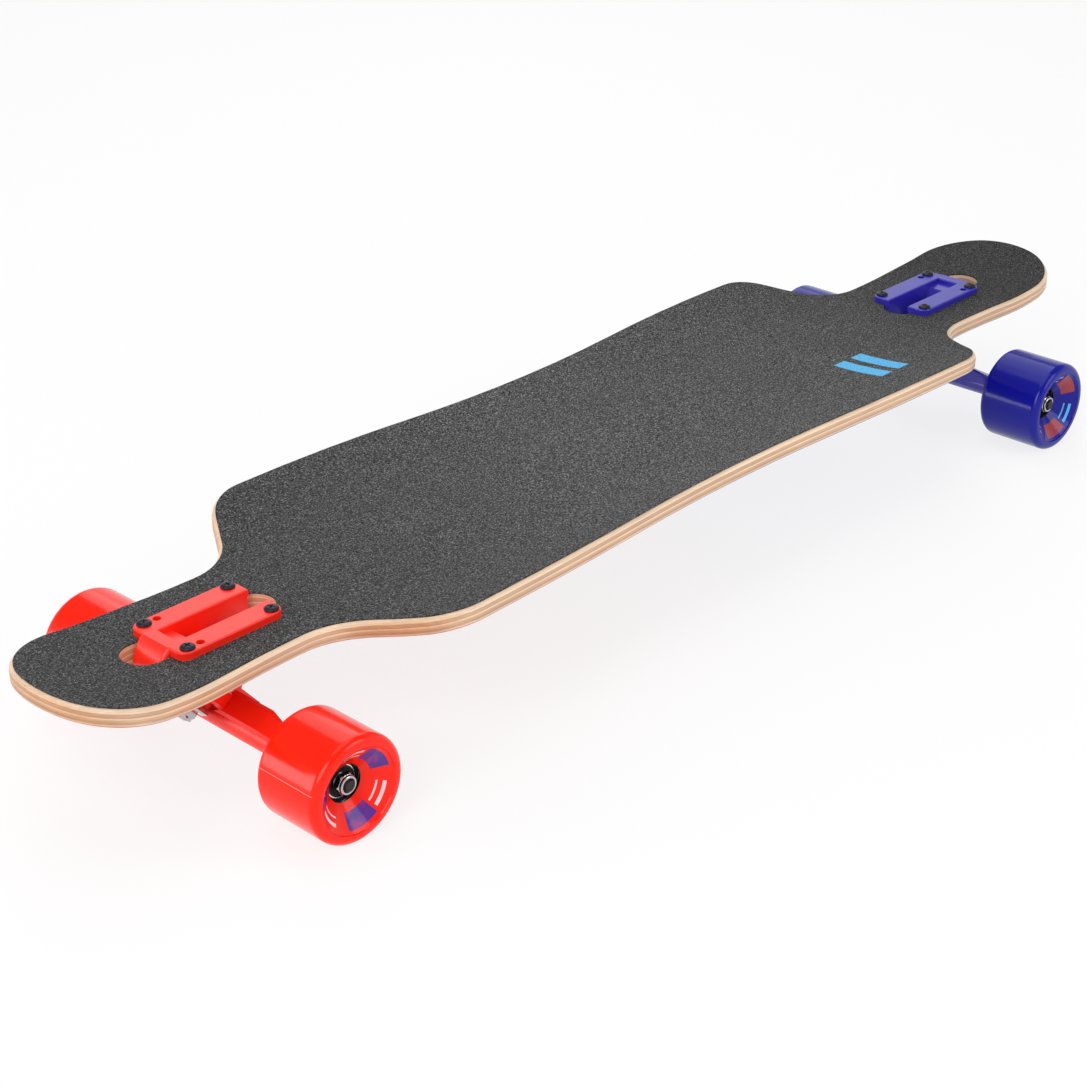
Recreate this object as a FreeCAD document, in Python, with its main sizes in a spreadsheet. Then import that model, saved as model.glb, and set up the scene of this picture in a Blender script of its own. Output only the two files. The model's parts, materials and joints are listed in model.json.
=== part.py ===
import FreeCAD, Part
import Sketcher
import math
import os
import re

from FreeCAD import Placement, Rotation, Vector

# Longboard skateboard: a pressed maple deck with two drop-through trucks of the reverse-kingpin kind.
# Millimetres. X runs forward to the front truck, Y to the left, Z up. The origin lies on the ground
# below the middle of the deck. A truck's own u axis points outward from its bolt pattern's centre.

SIZES = {
    # Deck outline, seen from above
    "wheelbase": 739.0,
    "tip_reach": 126.5,
    "tip_setback": 52.5,
    "tip_radius": 75.0,
    "tip_width": 116.0,
    "neck_width": 107.0,
    "deck_width": 235.0,
    "waist_width": 213.0,
    "waist_reach": 105.0,
    "shoulder_setback": 116.5,
    "corner_radius": 40.0,
    "well_setback": 29.5,
    "well_radius": 45.0,
    # Deck section and side view
    "deck_thickness": 12.0,
    "edge_round": 3.0,
    "flat_width": 60.0,
    "concave_radius": 299.0,
    "camber": 3.0,
    "camber_blend": 80.0,
    "kick_radius": 300.0,
    "press_margin": 6.0,
    "trim_reach": 24.0,
    "grip_thickness": 0.9,
    "grip_inset": 2.5,
    # Drop-through slot, measured outward and inward from the bolt pattern
    "slot_outer": 62.5,
    "slot_inner": 48.0,
    "slot_width": 29.0,
    # Bolt pattern and mounting hardware
    "bolt_spacing_x": 63.5,
    "bolt_spacing_y": 41.3,
    "spare_spacing_x": 54.0,
    "bolt_diameter": 4.8,
    "bolt_clearance": 0.8,
    "bolt_length": 29.0,
    "bolt_head_width": 9.5,
    "bolt_head_height": 2.2,
    "bolt_head_rim": 0.8,
    "bolt_head_crown": 5.7,
    "recess_length": 5.0,
    "recess_width": 1.1,
    "recess_depth": 1.3,
    "mount_nut_width": 9.5,
    "mount_nut_height": 5.0,
    "nut_margin": 1.0,
    # Baseplate
    "truck_height": 59.5,
    "flange_thickness": 5.0,
    "flange_inner": 38.5,
    "flange_outer": 39.5,
    "flange_width": 52.0,
    "flange_corner": 7.0,
    "flange_edge": 1.0,
    "mount_flat": 1.0,
    "hull_width": 27.5,
    "hull_back": 37.4,
    "channel_width": 18.5,
    "channel_depth": 13.5,
    "crossbar": 9.0,
    "ramp_length": 15.5,
    "ramp_depth": 3.5,
    "shelf_length": 11.0,
    "shelf_depth": 5.0,
    "bow_reach": 9.0,
    "bow_round": 3.0,
    "heel_wall": 2.2,
    "heel_end": 3.0,
    "rib_width": 14.0,
    "rib_thickness": 3.2,
    "rib_clearance": 1.2,
    "rib_bend": 24.0,
    "seat_margin": 5.0,
    "cast_round": 2.0,
    # Steering geometry
    "axle_offset": 1.0,
    "pivot_angle": 50.0,
    "ring_ahead": 21.9,
    "rake": 9.7,
    "swing_limit": 15.0,
    "swing_clearance": 0.6,
    # Kingpin, bushings and washers
    "kingpin_diameter": 9.52,
    "kingpin_clearance": 0.08,
    "kingpin_head_width": 14.3,
    "kingpin_head_height": 6.5,
    "kingpin_end": 0.8,
    "kingpin_chamfer": 1.0,
    "kingpin_nut_width": 14.3,
    "kingpin_nut_height": 7.5,
    "seat_thickness": 8.0,
    "bushing_radius": 13.5,
    "cone_radius": 10.5,
    "bushing_bore": 10.2,
    "boardside_height": 13.0,
    "roadside_height": 12.0,
    "bushing_edge": 1.0,
    "washer_radius": 13.4,
    "washer_thickness": 2.2,
    "washer_flat": 11.0,
    "washer_cup": 1.3,
    # Pivot
    "nose_radius": 4.2,
    "nose_clearance": 0.06,
    "cup_wall": 1.8,
    "cup_depth": 8.0,
    "cup_floor": 2.0,
    "mouth_reach": 35.0,
    "nose_gap": 0.3,
    "nose_shank": 1.0,
    # Hanger
    "hanger_width": 180.0,
    "knee_y": 46.0,
    "arm_end_y": 74.0,
    "boss_radius": 8.2,
    "boss_edge": 1.2,
    "ring_radius": 19.5,
    "ring_edge": 1.5,
    "ring_thickness": 7.0,
    "ring_bore": 16.0,
    "ring_recess": 5.5,
    "neck_radius": 5.2,
    "arm_radius": 8.0,
    "ridge_height": 14.6,
    "ridge_front": 6.0,
    "ridge_back": 9.0,
    "relief_width": 21.0,
    "cut_depth": 44.0,
    "beam_front": 6.0,
    "beam_crease": 8.2,
    "toe_reach": 7.0,
    "toe_drop": 4.5,
    "sole_half": 3.4,
    "sole_drop": 7.6,
    "back_high": 6.6,
    "back_low": 2.6,
    "seat_clearance": 1.8,
    "recess_clearance": 1.0,
    "axle_diameter": 8.0,
    "axle_clearance": 0.02,
    "axle_end": 7.4,
    "axle_chamfer": 0.8,
    "axle_nut_width": 12.7,
    "axle_nut_height": 6.0,
    # Wheel and bearings
    "wheel_diameter": 70.0,
    "wheel_width": 52.0,
    "lip_radius": 5.0,
    "lip_face": 2.0,
    "lip_step": 0.8,
    "dish_depth": 13.0,
    "hub_radius": 12.0,
    "recess_radius": 14.5,
    "recess_mouth": 16.5,
    "recess_fall": 0.5,
    "bearing_diameter": 22.0,
    "bearing_width": 7.0,
    "bearing_shoulder": 1.7,
    "outer_land": 9.4,
    "inner_land": 6.3,
    "race_clearance": 0.05,
    "shield_thickness": 0.4,
    "shield_recess": 0.4,
    "shield_gap": 0.35,
    "spacer_length": 10.0,
    "spacer_diameter": 11.0,
    "speed_ring_thickness": 1.0,
    "speed_ring_diameter": 11.6,
    "wheel_offset": 2.2,
}

# Heights and places that several pieces share, worked out from the sizes above
DERIVED = {
    "half_base": "wheelbase / 2",
    "deck_half": "half_base + tip_reach",
    "axle_z": "wheel_diameter / 2",
    "flange_z": "axle_z + truck_height",
    "flange_top": "flange_z + flange_thickness",
    "deck_top": "flange_z - grip_thickness",
    "deck_bottom": "deck_top - deck_thickness",
    "ring_du": "ring_ahead * cos(pivot_angle) - rake * sin(pivot_angle)",
    "ring_dz": "ring_ahead * sin(pivot_angle) + rake * cos(pivot_angle)",
    "ring_u": "axle_offset + ring_du",
    "ring_z": "axle_z + ring_dz",
    "half_ring": "ring_thickness / 2",
    "boardside_washer_s": "-half_ring - boardside_height",
    "seat_s": "boardside_washer_s - washer_thickness",
    "head_s": "seat_s - seat_thickness",
    "roadside_washer_s": "half_ring + roadside_height",
    "nut_s": "roadside_washer_s + washer_thickness",
    "kingpin_end_s": "nut_s + kingpin_nut_height + kingpin_end",
    "cup_radius": "nose_radius + nose_clearance + cup_wall",
    "heel_radius": "cup_radius + heel_wall",
    "rib_front": "neck_radius + rib_clearance",
    "rib_back": "rib_front + rib_thickness",
    "block_reach": "bushing_radius + seat_clearance",
    "cup_end_t": "mouth_reach + cup_depth + cup_floor",
    "heel_end_t": "cup_end_t + heel_end",
    "hanger_half": "hanger_width / 2",
    "inner_bearing_y": "hanger_half + speed_ring_thickness + bearing_width / 2",
    "outer_bearing_y": "inner_bearing_y + bearing_width + spacer_length",
    "outer_ring_y": "outer_bearing_y + bearing_width / 2 + speed_ring_thickness / 2",
    "axle_nut_y": "outer_ring_y + speed_ring_thickness / 2",
    "wheel_y": "(inner_bearing_y + outer_bearing_y) / 2 + wheel_offset",
    "bearing_gap": "(bearing_width + spacer_length) / 2",
    "bearing_radius": "bearing_diameter / 2",
    "axle_radius": "axle_diameter / 2",
}

LEFT = 1
RIGHT = -1
FRONT = 1
REAR = -1
TRUCKS = (("front", FRONT), ("rear", REAR))
FLANKS = (("left", 1), ("right", -1))
# Directions of the eight corners where an arm of the hanger runs into its boss
COLLAR_TURNS = (-66, -33, 50, 110, 125, 150, 198, 246)
WORD = re.compile(r"[A-Za-z_]\w*")

document = FreeCAD.newDocument("longboard")
sheet = document.addObject("Spreadsheet::Sheet", "sizes")
for row, (alias, number) in enumerate(SIZES.items(), start=1):
    sheet.set(f"A{row}", alias)
    sheet.set(f"B{row}", str(number))
    sheet.setAlias(f"B{row}", alias)
document.recompute()
nodes = []


def formula(text):
    """Spell a formula of named sizes out as an expression on the sheet."""
    def spell(match):
        word = match.group()
        if word in DERIVED:
            return "(" + formula(DERIVED[word]) + ")"
        return "sizes." + word if word in SIZES else word
    return WORD.sub(spell, str(text))


def value(text):
    """Work a formula of named sizes out as a number."""
    return float(sheet.evalExpression(formula(text)))


def times(sign, text):
    """A formula with a sign in front."""
    return f"{sign} * ({text})"


def tilted(along_pin, along_pivot, start=("ring_u", "ring_z")):
    """A point of a truck's side view, given along the kingpin (road side) and along the pivot axis."""
    across = f"{start[0]} + ({along_pin}) * sin(pivot_angle) + ({along_pivot}) * cos(pivot_angle)"
    height = f"{start[1]} - ({along_pin}) * cos(pivot_angle) + ({along_pivot}) * sin(pivot_angle)"
    return across, height


HANGER_RING = ("ring_du", "ring_dz")


def add_body(label):
    return document.addObject("PartDesign::Body", label)


def add_sketch(body, plane, offset="0"):
    """A sketch on one of the body's own planes, moved along that plane's normal."""
    sketch = body.newObject("Sketcher::SketchObject", body.Name + "_sketch")
    support = [item for item in body.Origin.OriginFeatures if item.Role == plane][0]
    sketch.AttachmentSupport = (support, [""])
    sketch.MapMode = "FlatFace"
    sketch.setExpression("AttachmentOffset.Base.z", formula(offset))
    return sketch


def add_pin_sketch(body, along_pin):
    """A sketch square to the kingpin of a hanger, its normal pointing to the road side."""
    sketch = add_sketch(body, "XY_Plane")
    across, height = tilted(along_pin, "0", HANGER_RING)
    sketch.AttachmentOffset = Placement(Vector(), Rotation(Vector(0, 1, 0), 180 - value("pivot_angle")))
    sketch.setExpression("AttachmentOffset.Base.x", formula(across))
    sketch.setExpression("AttachmentOffset.Base.z", formula(height))
    sketch.setExpression("AttachmentOffset.Rotation.Angle", formula("180 - pivot_angle"))
    return sketch


def bind(sketch, kind, geometry, point, text):
    """Tie one coordinate of a sketch point to a formula."""
    number = value(text)
    if abs(number) < 1e-9:
        axis = -2 if kind == "DistanceX" else -1
        sketch.addConstraint(Sketcher.Constraint("PointOnObject", geometry, point, axis))
        return
    place = sketch.addConstraint(Sketcher.Constraint(kind, -1, 1, geometry, point, number))
    sketch.setExpression(f"Constraints[{place}]", formula(text))


def bend(radius, turn):
    """An arc's radius and turn. A radius below zero bends the other way."""
    return (radius, turn) if value(radius) > 0 else (f"-({radius})", -turn)


def draw(sketch, corners):
    """Draw a closed outline. A corner (x, y) starts a line, (x, y, radius, turn) starts an arc."""
    points = [Vector(value(corner[0]), value(corner[1]), 0) for corner in corners]
    ends = []
    pieces = []
    for index, corner in enumerate(corners):
        start = points[index]
        stop = points[(index + 1) % len(points)]
        if len(corner) == 2:
            pieces.append(sketch.addGeometry(Part.LineSegment(start, stop)))
            ends.append((1, 2))
            continue
        text, turn = bend(*corner[2:])
        radius = value(text)
        chord = stop - start
        inward = Vector(-chord.y, chord.x, 0).normalize() * turn
        centre = start + chord * 0.5 + inward * math.sqrt(radius ** 2 - (chord.Length / 2) ** 2)
        angles = [math.atan2(point.y - centre.y, point.x - centre.x) for point in (start, stop)]
        circle = Part.Circle(centre, Vector(0, 0, 1), radius)
        arc = Part.ArcOfCircle(circle, *(angles if turn == LEFT else reversed(angles)))
        pieces.append(sketch.addGeometry(arc))
        ends.append((1, 2) if turn == LEFT else (2, 1))
    for index, corner in enumerate(corners):
        piece = pieces[index]
        following = (index + 1) % len(corners)
        joint = (piece, ends[index][1], pieces[following], ends[following][0])
        sketch.addConstraint(Sketcher.Constraint("Coincident", *joint))
        bind(sketch, "DistanceX", piece, ends[index][0], corner[0])
        bind(sketch, "DistanceY", piece, ends[index][0], corner[1])
        if len(corner) == 4:
            text, _ = bend(*corner[2:])
            place = sketch.addConstraint(Sketcher.Constraint("Radius", piece, value(text)))
            sketch.setExpression(f"Constraints[{place}]", formula(text))


def draw_circle(sketch, x, y, radius):
    centre = Vector(value(x), value(y), 0)
    piece = sketch.addGeometry(Part.Circle(centre, Vector(0, 0, 1), value(radius)))
    bind(sketch, "DistanceX", piece, 3, x)
    bind(sketch, "DistanceY", piece, 3, y)
    place = sketch.addConstraint(Sketcher.Constraint("Radius", piece, value(radius)))
    sketch.setExpression(f"Constraints[{place}]", formula(radius))


def draw_axis(sketch, start, stop):
    """A construction line for a revolve to turn about."""
    ends = [Vector(value(point[0]), value(point[1]), 0) for point in (start, stop)]
    piece = sketch.addGeometry(Part.LineSegment(*ends), True)
    for place, point in ((1, start), (2, stop)):
        bind(sketch, "DistanceX", piece, place, point[0])
        bind(sketch, "DistanceY", piece, place, point[1])


def hexagon(width):
    """Corners of a hexagon with the given width across flats."""
    reach = f"({width}) / 2 / cos(30)"
    return [(f"{reach} * cos({turn})", f"{reach} * sin({turn})") for turn in range(30, 390, 60)]


def obround(inner, outer, width, sign=1, start="0"):
    """A slot with round ends along x, from -inner to +outer of a start point."""
    turn = LEFT * sign
    radius = f"({width}) / 2"
    low = f"{start} - ({inner})"
    high = f"{start} + ({outer})"
    corners = [
        (f"{low} + {radius}", f"-{radius}"),
        (f"{high} - {radius}", f"-{radius}", radius, turn),
        (high, "0", radius, turn),
        (f"{high} - {radius}", radius),
        (f"{low} + {radius}", radius, radius, turn),
        (low, "0", radius, turn),
    ]
    return [(times(sign, corner[0]), *corner[1:]) for corner in corners]


def pad(body, sketch, length, symmetric=False):
    feature = body.newObject("PartDesign::Pad", body.Name + "_pad")
    feature.Profile = sketch
    feature.SideType = "Symmetric" if symmetric else "One side"
    feature.setExpression("Length", formula(length))
    return feature


def revolve(body, sketch, axis):
    feature = body.newObject("PartDesign::Revolution", body.Name + "_revolution")
    feature.Profile = sketch
    feature.ReferenceAxis = (sketch, [axis])
    feature.Angle = 360
    return feature


def loft(body, sketches):
    feature = body.newObject("PartDesign::AdditiveLoft", body.Name + "_loft")
    feature.Profile = sketches[0]
    feature.Sections = sketches[1:]
    feature.Ruled = True
    return feature


def checked_cut(body, feature, before):
    """Stop if a cut took nothing away."""
    document.recompute()
    if not feature.Shape.Volume < before - 1e-3:
        raise RuntimeError(f"{body.Label}: {feature.Label} cuts nothing")
    return feature


def pocket(body, sketch, length=None, symmetric=True, backward=False):
    """A pocket through everything, or as deep as given."""
    document.recompute()
    before = body.Shape.Volume
    feature = body.newObject("PartDesign::Pocket", body.Name + "_pocket")
    feature.Profile = sketch
    feature.SideType = "Symmetric" if symmetric else "One side"
    feature.Reversed = backward
    if length is None:
        feature.Type = "ThroughAll"
    else:
        feature.setExpression("Length", formula(length))
    return checked_cut(body, feature, before)


def groove(body, sketch, axis):
    document.recompute()
    before = body.Shape.Volume
    feature = body.newObject("PartDesign::Groove", body.Name + "_groove")
    feature.Profile = sketch
    feature.ReferenceAxis = (sketch, [axis])
    feature.Angle = 360
    return checked_cut(body, feature, before)


def dress(body, kind, base, edges, size_name, amount):
    """A fillet or chamfer on the edges of a feature that the given test picks."""
    document.recompute()
    names = [f"Edge{index}" for index, edge in enumerate(base.Shape.Edges, start=1) if edges(edge)]
    feature = body.newObject("PartDesign::" + kind, body.Name + "_" + kind.lower())
    feature.Base = (base, names)
    feature.setExpression(size_name, formula(amount))
    document.recompute()
    return feature


def keep(piece):
    """Mark a finished piece as one of the part's nodes."""
    nodes.append(piece)
    return piece


def place(piece, x, y, z, axis=Vector(0, 0, 1), angle="0"):
    """Tie a piece's place and turn to formulas."""
    piece.Placement = Placement(Vector(value(x), value(y), value(z)), Rotation(axis, value(angle)))
    for name, text in (("x", x), ("y", y), ("z", z)):
        piece.setExpression("Placement.Base." + name, formula(text))
    if value(angle):
        piece.setExpression("Placement.Rotation.Angle", formula(angle))
    return piece


def place_on_truck(piece, side, u="0", z="0"):
    """Set a piece on the front truck, or turned half round on the rear one."""
    return place(piece, times(side, f"half_base + {u}"), "0", z, angle="0" if side == FRONT else "180")


def place_on_pin(piece, side, along_pin):
    """Set a round piece on a truck's kingpin, its own Z axis pointing to the road side."""
    across, height = tilted(along_pin, "0")
    turn = times(side, "180 - pivot_angle")
    return place(piece, times(side, f"half_base + {across}"), "0", height, Vector(0, 1, 0), turn)


def group(label, master, places):
    """One node that holds a copy of a master piece at each place."""
    copies = []
    for spot in places:
        copy = master.Shape.copy()
        copy.Placement = spot.multiply(copy.Placement)
        copies.append(copy)
    node = document.addObject("Part::Feature", label)
    node.Shape = Part.makeCompound(copies)
    return keep(node)


def deck_outline(inset):
    """The deck seen from above, drawn in from its edge by an inset: four like quarters of tangent arcs."""
    half_width = f"(deck_width / 2 - {inset})"
    half_waist = f"(waist_width / 2 - {inset})"
    half_neck = f"(neck_width / 2 - {inset})"
    half_tip = f"(tip_width / 2 - {inset})"
    reach = f"(deck_half - {inset})"
    corner_radius = f"(corner_radius - {inset})"
    well_radius = f"(well_radius + {inset})"
    tip_radius = f"(tip_radius - {inset})"
    corner_x = "(half_base - shoulder_setback)"
    well_x = "(half_base - well_setback)"
    tip_x = "(deck_half - tip_setback)"
    # Waist and side bow meet in an S with level ends, and so do the neck and the tip's flank
    side_turn = f"(2 * atan(({half_width} - {half_waist}) / {corner_x}))"
    waist_radius = f"(waist_reach / sin({side_turn}))"
    side_radius = f"(({corner_x} - waist_reach) / sin({side_turn}))"
    side_y = f"({half_waist} + {waist_radius} * (1 - cos({side_turn})))"
    neck_turn = f"(2 * atan(({half_tip} - {half_neck}) / ({tip_x} - {well_x})))"
    neck_mid = f"(({tip_x} + {well_x}) / 2)"
    neck_bend = f"(({tip_x} - {well_x}) / 2 / sin({neck_turn}))"
    # The flank is the straight tangent between the corner's arc and the wheel well's
    corner_y = f"({half_width} - {corner_radius})"
    well_y = f"({half_neck} + {well_radius})"
    run = f"({well_x} - {corner_x})"
    climb = f"({well_y} - {corner_y})"
    flank = f"(atan({climb} / {run}) - asin(({corner_radius} + {well_radius}) / sqrt({run}^2 + {climb}^2)))"
    # The tip is one large arc with a smaller one on each side of it
    tip_run = f"({tip_x} - {reach} + {tip_radius})"
    nose = f"(({tip_radius}^2 - {tip_run}^2 - {half_tip}^2) / 2 / ({tip_radius} - {half_tip}))"
    nose_y = f"({half_tip} - {nose})"
    nose_turn = f"atan({nose_y} / {tip_run})"
    quarter = [
        ("waist_reach", side_y, side_radius, RIGHT),
        (corner_x, half_width, corner_radius, RIGHT),
        (f"{corner_x} - {corner_radius} * sin({flank})", f"{corner_y} + {corner_radius} * cos({flank})"),
        (f"{well_x} + {well_radius} * sin({flank})", f"{well_y} - {well_radius} * cos({flank})",
         well_radius, LEFT),
        (well_x, half_neck, neck_bend, LEFT),
        (neck_mid, f"({half_neck} + {half_tip}) / 2", neck_bend, RIGHT),
        (tip_x, half_tip, nose, RIGHT),
        (f"{reach} - {tip_radius} + {tip_radius} * cos({nose_turn})",
         f"{tip_radius} * sin({nose_turn})", tip_radius, RIGHT),
    ]
    # The last arc of each quarter runs on over the tip, and the waist's over the middle
    bends = [corner[2:] for corner in quarter]
    spots = [corner[:2] for corner in quarter]
    outward = [spot + bend for spot, bend in zip(spots, bends)]
    homeward = list(zip(reversed(spots), reversed([(waist_radius, LEFT)] + bends[:-1])))
    outline = []
    for x_sign, y_sign, corners in (
        (1, 1, outward),
        (1, -1, [spot + bend for spot, bend in homeward]),
        (-1, -1, outward),
        (-1, 1, [spot + bend for spot, bend in homeward]),
    ):
        outline += [(times(x_sign, c[0]), times(y_sign, c[1]), *c[2:]) for c in corners]
    return outline


def press_spine(sketch):
    """The deck's side view: kick, flat truck mount, camber, flat truck mount, kick."""
    mount_outer = "(half_base + flange_outer + mount_flat)"
    mount_inner = "(half_base - flange_inner - mount_flat)"
    end = "(deck_half + press_margin)"
    kick = f"(kick_radius * (1 - cos(asin(({end} - {mount_outer}) / kick_radius))))"
    turn = f"(2 * atan(camber / {mount_inner}))"
    blend_radius = f"(camber_blend / sin({turn}))"
    crown_radius = f"(({mount_inner} - camber_blend) / sin({turn}))"
    blend_x = f"({mount_inner} - camber_blend)"
    blend_z = f"(deck_top + {blend_radius} * (1 - cos({turn})))"
    corners = [
        (f"-{end}", f"deck_top + {kick}", "kick_radius", LEFT),
        (f"-{mount_outer}", "deck_top"),
        (f"-{mount_inner}", "deck_top", blend_radius, LEFT),
        (f"-{blend_x}", blend_z, crown_radius, RIGHT),
        (blend_x, blend_z, blend_radius, LEFT),
        (mount_inner, "deck_top"),
        (mount_outer, "deck_top", "kick_radius", LEFT),
        (end, f"deck_top + {kick}"),
    ]
    draw_open(sketch, corners)
    return end, kick


def draw_open(sketch, corners):
    """Draw a path whose last corner is its end."""
    draw(sketch, corners)
    sketch.delGeometry(sketch.GeometryCount - 1)


def pressed_sheet(label, low, high, inset):
    """A sheet pressed to the deck's concave and side view, cut to its outline and its two slots."""
    body = add_body(label)
    spine = add_sketch(body, "XZ_Plane")
    end, kick = press_spine(spine)
    section = add_sketch(body, "YZ_Plane", f"-{end}")
    flat = "flat_width / 2"
    edge = "(max(deck_width; waist_width) / 2 + press_margin)"
    rise = f"(concave_radius - sqrt(concave_radius^2 - ({edge} - {flat})^2))"
    top = f"(deck_top + {kick} + {high})"
    bottom = f"(deck_top + {kick} + {low})"
    draw(section, [
        (f"-{flat}", bottom),
        (flat, bottom, "concave_radius", LEFT),
        (edge, f"{bottom} + {rise}"),
        (edge, f"{top} + {rise}", "concave_radius", RIGHT),
        (flat, top),
        (f"-{flat}", top, "concave_radius", RIGHT),
        (f"-{edge}", f"{top} + {rise}"),
        (f"-{edge}", f"{bottom} + {rise}", "concave_radius", LEFT),
    ])
    sweep = body.newObject("PartDesign::AdditivePipe", label + "_press")
    sweep.Profile = section
    sweep.Spine = spine
    sweep.Mode = "Fixed"
    document.recompute()
    trim = add_sketch(body, "XY_Plane")
    draw(trim, deck_outline(inset))
    far = "deck_half + trim_reach"
    wide = "max(deck_width; waist_width) / 2 + trim_reach"
    draw(trim, [(times(i, far), times(j, wide)) for i, j in ((1, 1), (-1, 1), (-1, -1), (1, -1))])
    return body, pocket(body, trim)


def is_rim(shape):
    """A test for the edges where the outline's upright wall meets the sheet's faces."""
    walls = [face for face in shape.Faces if abs(face.normalAt(*face_middle(face)).z) < 1e-3]

    def test(edge):
        return sum(any(edge.isSame(other) for other in wall.Edges) for wall in walls) == 1
    return test


def face_middle(face):
    low_u, high_u, low_v, high_v = face.ParameterRange
    return (low_u + high_u) / 2, (low_v + high_v) / 2


def cut_truck_openings(body, bolt_hole):
    """The drop-through slots and the bolt holes of both trucks."""
    openings = add_sketch(body, "XY_Plane")
    for side in (FRONT, REAR):
        draw(openings, obround("slot_inner", "slot_outer", "slot_width", side, "half_base"))
        for u, y in bolt_spots("bolt_spacing_x"):
            draw_circle(openings, times(side, f"half_base + {u}"), y, bolt_hole)
    return pocket(body, openings)


def bolt_spots(spacing):
    half = f"({spacing}) / 2"
    return [(times(i, half), times(j, "bolt_spacing_y / 2")) for i in (1, -1) for j in (1, -1)]


def make_deck():
    body, trimmed = pressed_sheet("deck", "-deck_thickness", "0", "0")
    dress(body, "Fillet", trimmed, is_rim(trimmed.Shape), "Radius", "edge_round")
    cut_truck_openings(body, "(bolt_diameter + bolt_clearance) / 2")
    keep(body)


def make_grip_tape():
    body, _ = pressed_sheet("grip_tape", "0", "grip_thickness", "grip_inset")
    cut_truck_openings(body, "(bolt_diameter + bolt_clearance) / 2")
    keep(body)


def is_bow_side(edge):
    """A test for the two curved edges at the sides of the bow."""
    outward = edge.BoundBox.XMax > value("flange_outer + bow_reach / 2")
    return outward and edge.Curve.TypeId == "Part::GeomCircle"


def is_flange_edge(edge):
    """A test for the straight and round edges of the flange's top, without the bow's ridge."""
    box = edge.BoundBox
    top = value("flange_top")
    middle = max(-box.YMin, box.YMax) < value("hull_width / 2") + 1e-6
    ridge = middle and box.XMin > value("flange_outer") - 1e-6
    return abs(box.ZMin - top) < 1e-6 and abs(box.ZMax - top) < 1e-6 and not ridge


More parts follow.
